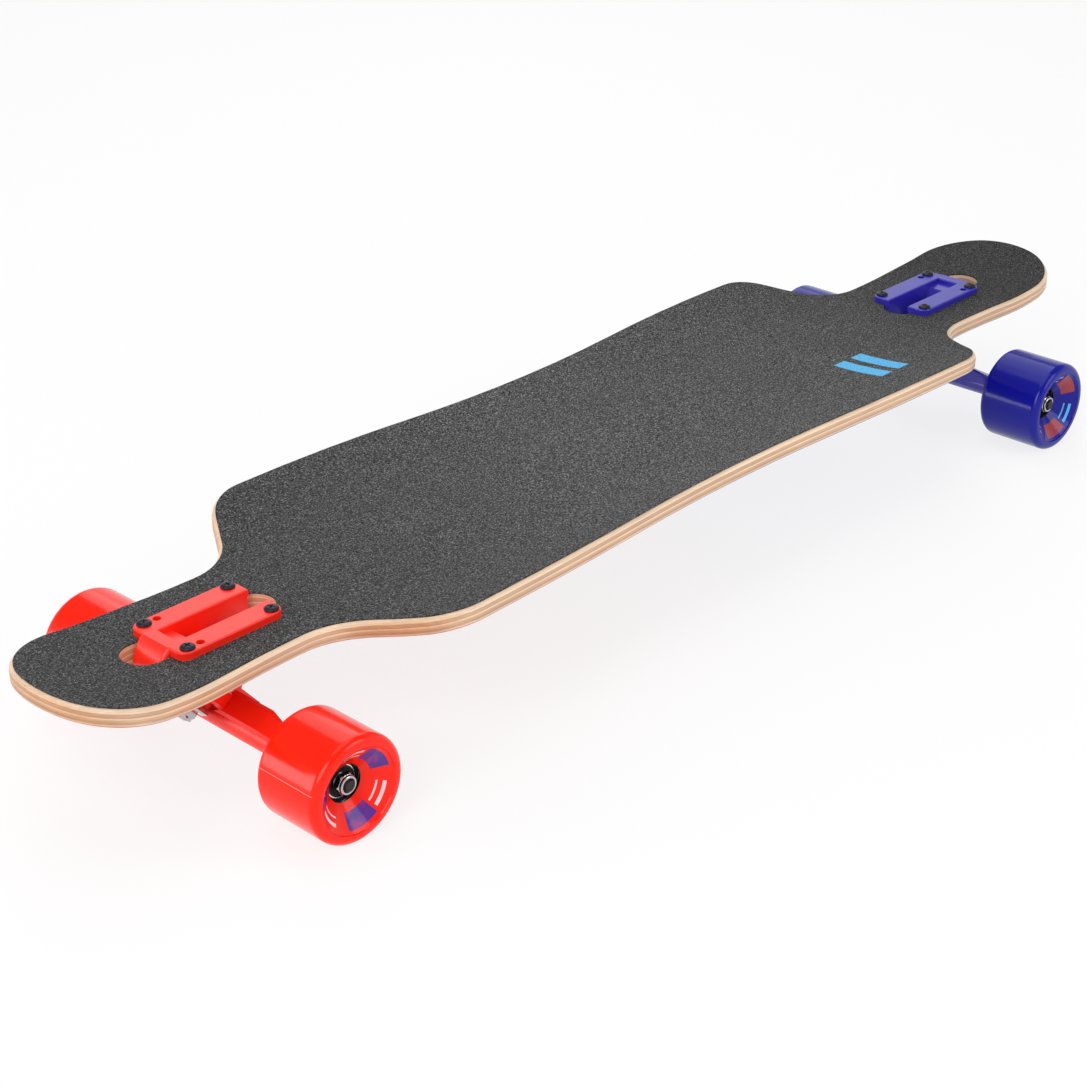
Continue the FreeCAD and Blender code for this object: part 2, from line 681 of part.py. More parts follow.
def make_baseplate(name, side):
    """Cast baseplate: flange, hull through the deck, bow, channel, kingpin seat and pivot heel."""
    body = add_body(name + "_baseplate")
    flange = add_sketch(body, "XY_Plane", "flange_z")
    half = "flange_width / 2"
    bend = ("flange_corner", LEFT)
    draw(flange, [
        ("-flange_inner + flange_corner", f"-{half}"),
        ("flange_outer - flange_corner", f"-{half}", *bend),
        ("flange_outer", f"-{half} + flange_corner"),
        ("flange_outer", f"{half} - flange_corner", *bend),
        ("flange_outer - flange_corner", half),
        ("-flange_inner + flange_corner", half, *bend),
        ("-flange_inner", f"{half} - flange_corner"),
        ("-flange_inner", f"-{half} + flange_corner", *bend),
    ])
    pad(body, flange, "flange_thickness")
    # Side view of the hull: down the inner end, along the bushing seat, out under the bow and over it
    hull = add_sketch(body, "XZ_Plane")
    seat_end = tilted("seat_s", "block_reach")
    bow_height = f"(flange_top - ({seat_end[1]}))"
    bow_radius = f"((bow_reach^2 + {bow_height}^2) / 2 / bow_reach)"
    draw(hull, [
        ("-hull_back", "flange_z + flange_thickness / 2"),
        ("-hull_back", "deck_bottom"),
        tilted("head_s", "-block_reach"),
        tilted("seat_s", "-block_reach"),
        seat_end,
        ("flange_outer + bow_reach", seat_end[1], bow_radius, LEFT),
        ("flange_outer", "flange_top"),
        ("flange_outer - crossbar", "flange_top"),
        ("flange_outer - crossbar", "flange_z + flange_thickness / 2"),
    ])
    solid = pad(body, hull, "hull_width", symmetric=True)
    dress(body, "Fillet", solid, is_bow_side, "Radius", "bow_round")
    # The rib carries the heel, which holds the pivot cup
    rib = add_sketch(body, "XZ_Plane")
    draw(rib, [
        tilted("head_s", "-block_reach + heel_wall"),
        tilted("head_s", "-block_reach"),
        tilted("-rib_back", "-rib_bend"),
        tilted("-rib_back", "-heel_end_t + rib_thickness"),
        tilted("-rib_front", "-heel_end_t + heel_wall"),
        tilted("-rib_front", "-block_reach"),
        tilted("seat_s", "-block_reach"),
        tilted("seat_s", "-block_reach + heel_wall"),
    ])
    pad(body, rib, "rib_width", symmetric=True)
    heel = add_sketch(body, "XZ_Plane")
    draw(heel, [
        tilted("0", "-mouth_reach"),
        tilted("-heel_radius", "-mouth_reach"),
        tilted("-heel_radius", "-heel_end_t + cast_round"),
        tilted("-heel_radius + cast_round", "-heel_end_t"),
        tilted("0", "-heel_end_t"),
    ])
    draw_axis(heel, tilted("0", "0"), tilted("0", "-heel_end_t"))
    revolve(body, heel, "Axis0")
    # The channel lets the kingpin's head in from above and from the board's middle
    channel = add_sketch(body, "XZ_Plane")
    floor = "flange_top - channel_depth"
    head_top = f"({floor} - ring_z + head_s * cos(pivot_angle)) / sin(pivot_angle)"
    above = "flange_top + flange_thickness"
    draw(channel, [
        ("-flange_inner - flange_thickness", above),
        ("-flange_inner - flange_thickness", "ring_z"),
        tilted("head_s", "-kingpin_head_width / 2 / cos(30) - seat_margin"),
        tilted("head_s", head_top),
        ("flange_outer - crossbar - ramp_length", floor),
        ("flange_outer - crossbar - shelf_length", "flange_top - shelf_depth"),
        ("flange_outer - crossbar", "flange_top - ramp_depth"),
        ("flange_outer - crossbar", above),
    ])
    cut = pocket(body, channel, "channel_width")
    dress(body, "Fillet", cut, is_flange_edge, "Radius", "flange_edge")
    bores = add_sketch(body, "XZ_Plane")
    pin = "(kingpin_diameter + kingpin_clearance) / 2"
    draw(bores, [tilted("head_s - seat_thickness", "0"), tilted("seat_s + seat_thickness", "0"),
                 tilted("seat_s + seat_thickness", pin), tilted("head_s - seat_thickness", pin)])
    draw_axis(bores, tilted("head_s", "0"), tilted("0", "0"))
    groove(body, bores, "Axis0")
    socket = add_sketch(body, "XZ_Plane")
    draw(socket, [
        tilted("0", "-mouth_reach + nose_shank"),
        tilted("-cup_radius", "-mouth_reach + nose_shank"),
        tilted("-cup_radius", "-cup_end_t"),
        tilted("0", "-cup_end_t"),
    ])
    draw_axis(socket, tilted("0", "0"), tilted("0", "-cup_end_t"))
    groove(body, socket, "Axis0")
    holes = add_sketch(body, "XY_Plane")
    hole = "(bolt_diameter + bolt_clearance) / 2"
    for u, y in bolt_spots("bolt_spacing_x"):
        draw_circle(holes, u, y, hole)
    for y_sign in (1, -1):
        draw_circle(holes, "spare_spacing_x - bolt_spacing_x / 2", times(y_sign, "bolt_spacing_y / 2"), hole)
    pocket(body, holes)
    keep(place_on_truck(body, side))


def make_hanger(name, side):
    """Cast hanger, in a frame on its axle: a faceted beam, round bosses, bushing ring and pivot nose."""
    body = add_body(name + "_hanger")
    beam = [
        ("sole_half", "-sole_drop"),
        ("toe_reach", "-toe_drop"),
        ("beam_front", "beam_crease"),
        ("-ridge_front", "ridge_height"),
        ("-ridge_back", "ridge_height"),
        ("-boss_radius", "back_high"),
        ("-boss_radius", "-back_low"),
        ("-sole_half", "-sole_drop"),
    ]
    collar = [(f"arm_radius * cos({turn})", f"arm_radius * sin({turn})") for turn in COLLAR_TURNS]
    sections = []
    stations = (("-arm_end_y", collar), ("-knee_y", beam), ("knee_y", beam), ("arm_end_y", collar))
    for reach, corners in stations:
        sketch = add_sketch(body, "XZ_Plane", reach)
        draw(sketch, corners)
        sections.append(sketch)
    loft(body, sections)
    bosses = add_sketch(body, "YZ_Plane")
    draw(bosses, [("-hanger_half", "0"), ("hanger_half", "0"), ("hanger_half", "boss_radius - boss_edge"),
                  ("hanger_half - boss_edge", "boss_radius"), ("-hanger_half + boss_edge", "boss_radius"),
                  ("-hanger_half", "boss_radius - boss_edge")])
    revolve(body, bosses, "H_Axis")
    # The beam's back is open in the middle, where the baseplate's rib comes down
    relief = add_sketch(body, "XZ_Plane")
    draw(relief, [
        tilted("-half_ring", "-mouth_reach", HANGER_RING),
        tilted("-half_ring", "0", HANGER_RING),
        tilted("head_s", "0", HANGER_RING),
        tilted("head_s", "-mouth_reach", HANGER_RING),
    ])
    pocket(body, relief, "relief_width")
    ring = add_sketch(body, "XZ_Plane")
    draw(ring, [
        tilted("-half_ring", "0", HANGER_RING),
        tilted("half_ring + ring_recess", "0", HANGER_RING),
        tilted("half_ring + ring_recess", "ring_radius - ring_edge", HANGER_RING),
        tilted("half_ring + ring_recess - ring_edge", "ring_radius", HANGER_RING),
        tilted("-half_ring + ring_edge", "ring_radius", HANGER_RING),
        tilted("-half_ring", "ring_radius - ring_edge", HANGER_RING),
    ])
    draw_axis(ring, tilted("-half_ring", "0", HANGER_RING), tilted("half_ring", "0", HANGER_RING))
    revolve(body, ring, "Axis0")
    neck = add_sketch(body, "XZ_Plane")
    nose_t = "-mouth_reach - cup_depth + nose_gap"
    draw(neck, [
        tilted("0", "-ring_bore / 2", HANGER_RING),
        tilted("-neck_radius", "-ring_bore / 2", HANGER_RING),
        tilted("-neck_radius", "-mouth_reach + neck_radius - nose_radius + nose_shank", HANGER_RING),
        tilted("-nose_radius", "-mouth_reach + nose_shank", HANGER_RING),
        tilted("-nose_radius", f"{nose_t} + nose_radius / 2", HANGER_RING),
        tilted("-nose_radius / 2", nose_t, HANGER_RING),
        tilted("0", nose_t, HANGER_RING),
    ])
    draw_axis(neck, tilted("0", "0", HANGER_RING), tilted("0", nose_t, HANGER_RING))
    revolve(body, neck, "Axis0")
    # A round recess for each bushing, and room in front for the washer and nut through the whole swing
    for along_pin, backward in (("half_ring", True), ("-half_ring", False)):
        recess = add_pin_sketch(body, along_pin)
        draw_circle(recess, "0", "0", "bushing_radius + recess_clearance")
        pocket(body, recess, "cut_depth", symmetric=False, backward=backward)
    scoop = add_pin_sketch(body, "half_ring + ring_recess")
    room = "2 * (washer_radius + swing_clearance)"
    reach = "washer_radius + nut_s * sin(swing_limit) + swing_clearance"
    draw(scoop, [(corner[1], corner[0], *corner[2:3], *(-turn for turn in corner[3:])) for corner in
                 obround(reach, reach, room)])
    pocket(body, scoop, "cut_depth", symmetric=False, backward=True)
    bore = add_sketch(body, "XZ_Plane")
    draw(bore, [tilted("-ring_thickness", "0", HANGER_RING), tilted("ring_thickness", "0", HANGER_RING),
                tilted("ring_thickness", "ring_bore / 2", HANGER_RING),
                tilted("-ring_thickness", "ring_bore / 2", HANGER_RING)])
    draw_axis(bore, tilted("-ring_thickness", "0", HANGER_RING), tilted("ring_thickness", "0", HANGER_RING))
    groove(body, bore, "Axis0")
    axle_bore = add_sketch(body, "XZ_Plane")
    draw_circle(axle_bore, "0", "0", "axle_radius + axle_clearance")
    pocket(body, axle_bore)
    keep(place_on_truck(body, side, "axle_offset", "axle_z"))


def lathe(label, corners):
    """A round piece turned about its own Z axis: corners are (radius, height)."""
    body = add_body(label)
    sketch = add_sketch(body, "XZ_Plane")
    draw(sketch, corners)
    revolve(body, sketch, "V_Axis")
    return body


def spindle(label, corners):
    """A round piece turned about its own Y axis: corners are (length along it, radius)."""
    body = add_body(label)
    sketch = add_sketch(body, "YZ_Plane")
    draw(sketch, corners)
    revolve(body, sketch, "H_Axis")
    return body


def tube(inner, outer, low, high):
    return [(inner, low), (outer, low), (outer, high), (inner, high)]


def make_steering(name, side):
    """Kingpin, nut, washers, bushings and pivot cup of one truck."""
    pin = "kingpin_diameter / 2"
    kingpin = lathe(name + "_kingpin", [
        ("0", "head_s"),
        (pin, "head_s"),
        (pin, "kingpin_end_s - kingpin_chamfer"),
        (pin + " - kingpin_chamfer", "kingpin_end_s"),
        ("0", "kingpin_end_s"),
    ])
    head = add_sketch(kingpin, "XY_Plane", "head_s - kingpin_head_height")
    draw(head, hexagon("kingpin_head_width"))
    pad(kingpin, head, "kingpin_head_height")
    keep(place_on_pin(kingpin, side, "0"))

    nut = add_body(name + "_kingpin_nut")
    flats = add_sketch(nut, "XY_Plane")
    draw(flats, hexagon("kingpin_nut_width"))
    draw_circle(flats, "0", "0", pin)
    pad(nut, flats, "kingpin_nut_height")
    chamfer_hexagon(nut, "kingpin_nut_width", "kingpin_nut_height")
    keep(place_on_pin(nut, side, "nut_s"))

    inner = f"{pin} + kingpin_clearance"
    cup = [(inner, "0"), ("washer_flat", "0"), ("washer_radius", "-washer_cup"),
           ("washer_radius", "washer_thickness - washer_cup"), ("washer_flat", "washer_thickness"),
           (inner, "washer_thickness")]
    keep(place_on_pin(lathe(name + "_roadside_washer", cup), side, "roadside_washer_s"))
    disc = tube(inner, "washer_radius", "0", "washer_thickness")
    keep(place_on_pin(lathe(name + "_boardside_washer", disc), side, "seat_s"))

    bore = "bushing_bore / 2"
    cone = [(bore, "0"), ("bushing_radius", "0"), ("bushing_radius", "bushing_edge"),
            ("cone_radius", "roadside_height"), (bore, "roadside_height")]
    keep(place_on_pin(lathe(name + "_roadside_bushing", cone), side, "half_ring"))
    barrel = [(bore, "0"), ("bushing_radius - bushing_edge", "0"), ("bushing_radius", "bushing_edge"),
              ("bushing_radius", "boardside_height - bushing_edge"),
              ("bushing_radius - bushing_edge", "boardside_height"), (bore, "boardside_height")]
    keep(place_on_pin(lathe(name + "_boardside_bushing", barrel), side, "boardside_washer_s"))

    mouth = "nose_radius + nose_clearance"
    cup_wall = [("0", "0"), ("cup_radius", "0"), ("cup_radius", "cup_floor + cup_depth"),
                (mouth, "cup_floor + cup_depth"), (mouth, "cup_floor"), ("0", "cup_floor")]
    pivot_cup = lathe(name + "_pivot_cup", cup_wall)
    across, height = tilted("0", "-cup_end_t")
    lean = times(side, "90 - pivot_angle")
    keep(place(pivot_cup, times(side, f"half_base + {across}"), "0", height, Vector(0, 1, 0), lean))


def chamfer_hexagon(body, width, height):
    """Take the corners off both ends of a hexagon nut with a thirty-degree cone."""
    flat = f"({width}) / 2"
    reach = f"({width}) / 2 / cos(30)"
    drop = f"({reach} - {flat}) * tan(30)"
    for end, sign in (("0", 1), (height, -1)):
        sketch = add_sketch(body, "XZ_Plane")
        rim = f"{end} + {times(sign, drop)}"
        outside = f"{reach} + nut_margin"
        draw(sketch, [(flat, end), (outside, end), (outside, rim), (reach, rim)])
        groove(body, sketch, "V_Axis")


def make_mounting(name, side):
    """Four bolts through flange, grip tape and deck, with a nut on each."""
    shank = "bolt_diameter / 2"
    head = "bolt_head_width / 2"
    bolt = lathe(name + "_bolt", [("0", "-bolt_length"), (shank, "-bolt_length"), (shank, "0"), (head, "0"),
                                  (head, "bolt_head_rim"),
                                  ("bolt_head_crown / 2", "bolt_head_height"), ("0", "bolt_head_height")])
    cross = add_sketch(bolt, "XY_Plane", "bolt_head_height")
    arm = "recess_length / 2"
    web = "recess_width / 2"
    corner = [(arm, "-" + web), (arm, web), (web, web)]
    corners = []
    for x_of, y_of in (("{0}", "{1}"), ("-({1})", "{0}"), ("-({0})", "-({1})"), ("{1}", "-({0})")):
        corners += [(x_of.format(*spot), y_of.format(*spot)) for spot in corner]
    draw(cross, corners)
    pocket(bolt, cross, "recess_depth", symmetric=False)
    nut = add_body(name + "_nut")
    flats = add_sketch(nut, "XY_Plane")
    draw(flats, hexagon("mount_nut_width"))
    draw_circle(flats, "0", "0", shank)
    pad(nut, flats, "mount_nut_height")
    document.recompute()
    spots = [Vector(value(u), value(y), 0) for u, y in bolt_spots("bolt_spacing_x")]
    bolts = group(name + "_mounting_bolts", bolt, [Placement(spot, Rotation()) for spot in spots])
    place_on_truck(bolts, side, z="flange_top")
    nuts = group(name + "_mounting_nuts", nut, [Placement(spot, Rotation()) for spot in spots])
    place_on_truck(nuts, side, z="deck_bottom - mount_nut_height")


def sleeve(label, inner, outer, length):
    """A tube along its own Y axis, centred on it."""
    half = f"{length} / 2"
    return spindle(label, [(along, radius) for radius, along in tube(inner, outer, "-" + half, half)])


def along_axle(distances):
    """Places along a truck's axle, mirrored to both ends."""
    places = []
    for distance in distances:
        places.append(Placement(Vector(0, value(distance), 0), Rotation()))
        places.append(Placement(Vector(0, -value(distance), 0), Rotation(Vector(0, 0, 1), 180)))
    return places


def make_axle(name, side):
    """Axle rod with its nuts, speed rings, spacers and bearing inner rings."""
    end = "axle_nut_y + axle_end"
    edge = "axle_radius - axle_chamfer"
    rod = spindle(name + "_axle", [
        (f"-({end})", "0"),
        (end, "0"),
        (end, edge),
        (f"{end} - axle_chamfer", "axle_radius"),
        (f"-({end}) + axle_chamfer", "axle_radius"),
        (f"-({end})", edge),
    ])
    keep(place_on_truck(rod, side, "axle_offset", "axle_z"))
    bore = "axle_radius + axle_clearance"
    nut = add_body(name + "_end_nut")
    flats = add_sketch(nut, "XY_Plane")
    draw(flats, hexagon("axle_nut_width"))
    draw_circle(flats, "0", "0", bore)
    pad(nut, flats, "axle_nut_height")
    chamfer_hexagon(nut, "axle_nut_width", "axle_nut_height")
    nut.Placement = Placement(Vector(), Rotation(Vector(1, 0, 0), -90))
    ring = sleeve(name + "_speed_ring", bore, "speed_ring_diameter / 2", "speed_ring_thickness")
    spacer = sleeve(name + "_spacer", bore, "spacer_diameter / 2", "spacer_length")
    race = sleeve(name + "_inner_ring", bore, "inner_land", "bearing_width")
    document.recompute()
    for label, master, distances in (
        ("_axle_nuts", nut, ["axle_nut_y"]),
        ("_speed_rings", ring, ["hanger_half + speed_ring_thickness / 2", "outer_ring_y"]),
        ("_bearing_spacers", spacer, ["(inner_bearing_y + outer_bearing_y) / 2"]),
        ("_bearing_inner_rings", race, ["inner_bearing_y", "outer_bearing_y"]),
    ):
        place_on_truck(group(name + label, master, along_axle(distances)), side, "axle_offset", "axle_z")


def outer_race():
    """Outer ring of a bearing with the ball track that its two shields close off."""
    wide = "bearing_width / 2"
    track = f"({wide} - shield_recess - shield_thickness)"
    run = "inner_land + race_clearance"
    return [(f"-{track}", run), (track, run), (track, "outer_land"), (wide, "outer_land"),
            (wide, "bearing_radius"), (f"-{wide}", "bearing_radius"), (f"-{wide}", "outer_land"),
            (f"-{track}", "outer_land")]


def wheel_section():
    """Half section of a wheel: tread, round lips, dished outer face and a seat for each bearing."""
    half = "(wheel_width / 2)"
    tread = "wheel_diameter / 2"
    lip = "(wheel_diameter / 2 - lip_radius)"
    shoulder = "bearing_radius - bearing_shoulder"
    inner = "(-bearing_gap - wheel_offset)"
    outer = "(bearing_gap - wheel_offset)"
    seat_in = f"{inner} + bearing_width / 2"
    seat_out = f"{outer} - bearing_width / 2"
    return [
        (seat_in, shoulder),
        (seat_in, "bearing_radius"),
        (f"{inner} - bearing_width / 2", "bearing_radius"),
        (f"{inner} - bearing_width / 2 - recess_fall", "recess_radius"),
        (f"-{half}", "recess_mouth"),
        (f"-{half}", lip, "lip_radius", RIGHT),
        (f"-{half} + lip_radius", tread),
        (f"{half} - lip_radius", tread, "lip_radius", RIGHT),
        (half, lip),
        (half, f"{lip} - lip_face"),
        (f"{half} - lip_step", f"{lip} - lip_face - lip_step / 2"),
        (f"{half} - dish_depth", "hub_radius"),
        (f"{outer} + bearing_width / 2", "hub_radius"),
        (f"{outer} + bearing_width / 2", "bearing_radius"),
        (seat_out, "bearing_radius"),
        (seat_out, shoulder),
    ]


def make_wheel(name, side, flank_name, flank):
    """One wheel with the outer rings and shields of its two bearings."""
    label = f"{name}_{flank_name}"
    x = times(side, "half_base + axle_offset")
    y = times(flank, "wheel_y")
    turn = "0" if flank == 1 else "180"
    wheel = spindle(label + "_wheel", wheel_section())
    keep(place(wheel, x, y, "axle_z", angle=turn))
    race = spindle(label + "_outer_ring", outer_race())
    low = "bearing_width / 2 - shield_recess - shield_thickness"
    rim = tube("inner_land + shield_gap", "outer_land", low, low + " + shield_thickness")
    shield = spindle(label + "_shield", [(along, radius) for radius, along in rim])
    document.recompute()
    centres = [Vector(0, sign * value("bearing_gap") - value("wheel_offset"), 0) for sign in (-1, 1)]
    facings = (Rotation(), Rotation(Vector(1, 0, 0), 180))
    for suffix, master, places in (
        ("_bearing_outer_rings", race, [Placement(centre, Rotation()) for centre in centres]),
        ("_bearing_shields", shield, [Placement(centre, facing) for centre in centres for facing in facings]),
    ):
        place(group(label + suffix, master, places), x, y, "axle_z", angle=turn)


def check_document():
    """Stop on any object that failed, and on any piece that isn't a sound solid."""
    document.recompute()
    for item in document.Objects:
        if {"Invalid", "Error"} & set(item.State):
            raise RuntimeError(f"{item.Label}: {item.State}")
    for piece in nodes:
        if piece.Shape.isNull() or not piece.Shape.isValid() or not piece.Shape.Solids:
            raise RuntimeError(f"{piece.Label}: no sound solid")


make_deck()
make_grip_tape()
for truck_name, truck_side in TRUCKS:
    make_baseplate(truck_name, truck_side)
    make_hanger(truck_name, truck_side)
    make_steering(truck_name, truck_side)
    make_mounting(truck_name, truck_side)
    make_axle(truck_name, truck_side)
    for wheel_name, wheel_flank in FLANKS:
        make_wheel(truck_name, truck_side, wheel_name, wheel_flank)
check_document()
os.makedirs("parts", exist_ok=True)
for node in nodes:
    node.Shape.exportStep(f"parts/{node.Label}.step")
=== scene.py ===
import json
import math

import bmesh
import bpy
from bpy.props import FloatProperty, FloatVectorProperty, IntProperty, PointerProperty
from mathutils import Matrix, Vector


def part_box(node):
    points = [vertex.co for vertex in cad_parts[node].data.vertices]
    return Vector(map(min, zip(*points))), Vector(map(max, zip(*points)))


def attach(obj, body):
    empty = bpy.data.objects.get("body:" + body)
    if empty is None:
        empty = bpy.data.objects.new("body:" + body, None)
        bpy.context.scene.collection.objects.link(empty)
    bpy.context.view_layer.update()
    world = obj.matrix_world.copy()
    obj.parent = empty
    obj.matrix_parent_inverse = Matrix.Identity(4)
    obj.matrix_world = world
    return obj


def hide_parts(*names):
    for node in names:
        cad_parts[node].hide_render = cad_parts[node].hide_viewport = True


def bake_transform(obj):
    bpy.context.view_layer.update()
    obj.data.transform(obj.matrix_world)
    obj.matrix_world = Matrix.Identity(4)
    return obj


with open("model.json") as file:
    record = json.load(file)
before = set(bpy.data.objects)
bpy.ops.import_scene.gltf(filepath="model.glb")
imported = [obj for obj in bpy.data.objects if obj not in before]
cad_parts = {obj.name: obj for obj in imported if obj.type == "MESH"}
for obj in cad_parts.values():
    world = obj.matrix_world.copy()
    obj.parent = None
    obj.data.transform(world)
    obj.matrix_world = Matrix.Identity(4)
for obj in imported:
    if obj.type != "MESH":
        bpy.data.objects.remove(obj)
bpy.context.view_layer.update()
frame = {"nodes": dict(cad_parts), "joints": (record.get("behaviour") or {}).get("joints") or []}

bl_info = {
    "name": "Longboard",
    "version": (1, 0, 0),
    "blender": (4, 5, 0),
    "location": "View3D > Sidebar > Longboard",
    "description": "Finishes, bushings, bolts, nuts and stage of a drop-through longboard",
    "category": "Add Mesh",
}

ENDS = ("front", "rear")
FLANKS = ("left", "right")
THREAD_STEPS = 6  # rings to a turn of a thread


# Sizes and colours that a user would change

class LongboardColours(bpy.types.PropertyGroup):
    """Colours of the finishes"""

    rear_red: FloatVectorProperty(
        name="Rear red", description="Paint of the rear truck",
        subtype="COLOR", min=0, max=1, default=(0.92, 0.016, 0.004))
    front_blue: FloatVectorProperty(
        name="Front blue", description="Paint of the front truck",
        subtype="COLOR", min=0, max=1, default=(0.022, 0.014, 0.350))
    rear_urethane: FloatVectorProperty(
        name="Rear urethane", description="Cast urethane of the rear wheels",
        subtype="COLOR", min=0, max=1, default=(0.93, 0.012, 0.001))
    front_urethane: FloatVectorProperty(
        name="Front urethane", description="Cast urethane of the front wheels",
        subtype="COLOR", min=0, max=1, default=(0.004, 0.005, 0.250))
    grip_grey: FloatVectorProperty(
        name="Grip grey", description="Ground of the grip tape between its grains",
        subtype="COLOR", min=0, max=1, default=(0.037, 0.037, 0.037))
    grip_grain: FloatVectorProperty(
        name="Grip grain", description="Grains that catch the light",
        subtype="COLOR", min=0, max=1, default=(0.38, 0.38, 0.38))
    maple_pale: FloatVectorProperty(
        name="Pale maple", description="Pale plies of the deck",
        subtype="COLOR", min=0, max=1, default=(0.84, 0.62, 0.44))
    maple_tan: FloatVectorProperty(
        name="Tan maple", description="Darker plies and glue lines of the deck",
        subtype="COLOR", min=0, max=1, default=(0.60, 0.37, 0.225))
    sky: FloatVectorProperty(
        name="Sky blue", description="Bars on the grip tape and fine print on the front wheels",
        subtype="COLOR", min=0, max=1, default=(0.10, 0.46, 0.80))
    violet: FloatVectorProperty(
        name="Violet", description="Broad print on the rear wheels",
        subtype="COLOR", min=0, max=1, default=(0.065, 0.032, 0.28))
    brick: FloatVectorProperty(
        name="Brick red", description="Broad print on the front wheels",
        subtype="COLOR", min=0, max=1, default=(0.36, 0.045, 0.045))
    chalk: FloatVectorProperty(
        name="Chalk", description="Fine print on the rear wheels",
        subtype="COLOR", min=0, max=1, default=(0.80, 0.66, 0.68))


class LongboardSizes(bpy.types.PropertyGroup):
    """Sizes of the pieces that are turned here"""

    bolt_head: FloatProperty(
        name="Bolt head", description="Width of a mounting bolt's pan head",
        unit="LENGTH", min=0.006, max=0.012, default=0.0095, precision=4)
    bolt_crown: FloatProperty(
        name="Bolt crown", description="Height of a mounting bolt's pan head",
        unit="LENGTH", min=0.001, max=0.004, default=0.0022, precision=4)
    bolt_pitch: FloatProperty(
        name="Bolt thread", description="Pitch of the mounting bolts' thread",
        unit="LENGTH", min=0.0004, max=0.002, default=0.0008, precision=4)
    bushing_swell: FloatProperty(
        name="Bushing swell", description="How far a bushing's waist stands out under load",
        unit="LENGTH", min=0, max=0.002, default=0.0006, precision=4)
    segments: IntProperty(
        name="Segments", description="Steps round a turned piece", min=24, max=192, default=72)


class LongboardStage(bpy.types.PropertyGroup):
    """Camera and light"""

    lens: FloatProperty(
        name="Lens", description="Focal length of the camera",
        unit="CAMERA", min=20, max=200, default=73.658)
    camera_place: FloatVectorProperty(
        name="Camera", description="Where the camera stands", subtype="XYZ", unit="LENGTH",
        default=(-1.06784, -0.94529, 0.74618), precision=4)
    camera_turn: FloatVectorProperty(
        name="Camera turn", description="How the camera is turned", subtype="EULER", unit="ROTATION",
        default=(math.radians(62.6517), math.radians(0.2991), math.radians(-46.4153)))
    floor_size: FloatProperty(
        name="Floor", description="Width of the floor", unit="LENGTH", min=2, max=60, default=30)
    key_power: FloatProperty(
        name="Key light", description="Power of the large lamp on the camera's left",
        unit="POWER", min=0, default=27)
    fill_power: FloatProperty(
        name="Fill light", description="Power of the lamp on the camera's right",
        unit="POWER", min=0, default=14)
    back_power: FloatProperty(
        name="Back light", description="Power of the lamp behind the board",
        unit="POWER", min=0, default=12)
    low_power: FloatProperty(
        name="Low light", description="Power of the low lamp on the far left",
        unit="POWER", min=0, default=8)
    top_power: FloatProperty(
        name="Top light", description="Power of the lamp above", unit="POWER", min=0, default=14)
    ceiling: FloatProperty(
        name="Ceiling", description="Light from overhead as a share of the white at the horizon",
        min=0, max=1, default=0.3)


def colours():
    return bpy.context.scene.longboard_colours


def sizes():
    return bpy.context.scene.longboard_sizes


def stage():
    return bpy.context.scene.longboard_stage


# Node trees

class Wiring:
    """Builds one node tree. A socket given as an input is linked, and anything else is its value."""

    def __init__(self, tree):
        self.tree = tree

    def feed(self, socket, item):
        if isinstance(item, bpy.types.NodeSocket):
            self.tree.links.new(item, socket)
        else:
            socket.default_value = item

    def put(self, kind, inputs=None, **settings):
        made = self.tree.nodes.new("ShaderNode" + kind)
        for key, item in settings.items():
            setattr(made, key, item)
        for key, item in (inputs or {}).items():
            self.feed(made.inputs[key], item)
        return made

    def math(self, operation, *terms):
        made = self.put("Math", operation=operation)
        for socket, item in zip(made.inputs, terms):
            self.feed(socket, item)
        return made.outputs[0]

    def distance(self, first, second):
        """The length of two parts at a right angle."""
        squares = [self.math("MULTIPLY", part, part) for part in (first, second)]
        return self.math("SQRT", self.math("ADD", *squares))

    def mix(self, share, first, second, blend="MIX"):
        made = self.put("Mix", {0: share, 6: first, 7: second}, data_type="RGBA", blend_type=blend)
        return made.outputs[2]

    def grey(self, level):
        return self.put("CombineColor", {0: level, 1: level, 2: level}).outputs[0]

    def step(self, item, low, high, start=0.0, end=1.0):
        """A soft step from start to end as the item goes from low to high."""
        inputs = {0: item, 1: low, 2: high, 3: start, 4: end}
        return self.put("MapRange", inputs, interpolation_type="SMOOTHSTEP").outputs[0]

    def between(self, item, low, high, soft):
        """A mask that is 1 while the item is between two limits."""
        rise = self.step(item, low - soft, low + soft)
        fall = self.step(item, high - soft, high + soft, 1.0, 0.0)
        return self.math("MULTIPLY", rise, fall)

    def ramp(self, share, stops):
        made = self.put("ValToRGB", {0: share})
        while len(made.color_ramp.elements) < len(stops):
            made.color_ramp.elements.new(1.0)
        for element, (position, colour) in zip(made.color_ramp.elements, stops):
            element.position = position
            element.color = rgba(colour)
        return made.outputs[0]

    def noise(self, vector, scale, detail=2.0, roughness=0.5):
        inputs = {"Vector": vector, "Scale": scale, "Detail": detail, "Roughness": roughness}
        return self.put("TexNoise", inputs).outputs[0]

    def place(self):
        """A point of the piece at rest, in metres."""
        return self.put("TexCoord").outputs["Object"]

    def split(self, vector):
        return self.put("SeparateXYZ", {0: vector}).outputs

    def stretch(self, vector, scale):
        return self.put("Mapping", {"Vector": vector, "Scale": scale}).outputs[0]

    def bump(self, height, distance, strength=1.0):
        return self.put("Bump", {"Height": height, "Distance": distance, "Strength": strength}).outputs[0]

    def group(self, tree, **inputs):
        made = self.put("Group", node_tree=tree)
        for key, item in inputs.items():
            self.feed(made.inputs[key.replace("_", " ").capitalize()], item)
        return made.outputs


def rgba(colour):
    return (*tuple(colour)[:3], 1.0)


def shade(colour, factor):
    return rgba([min(1.0, part * factor) for part in tuple(colour)[:3]])


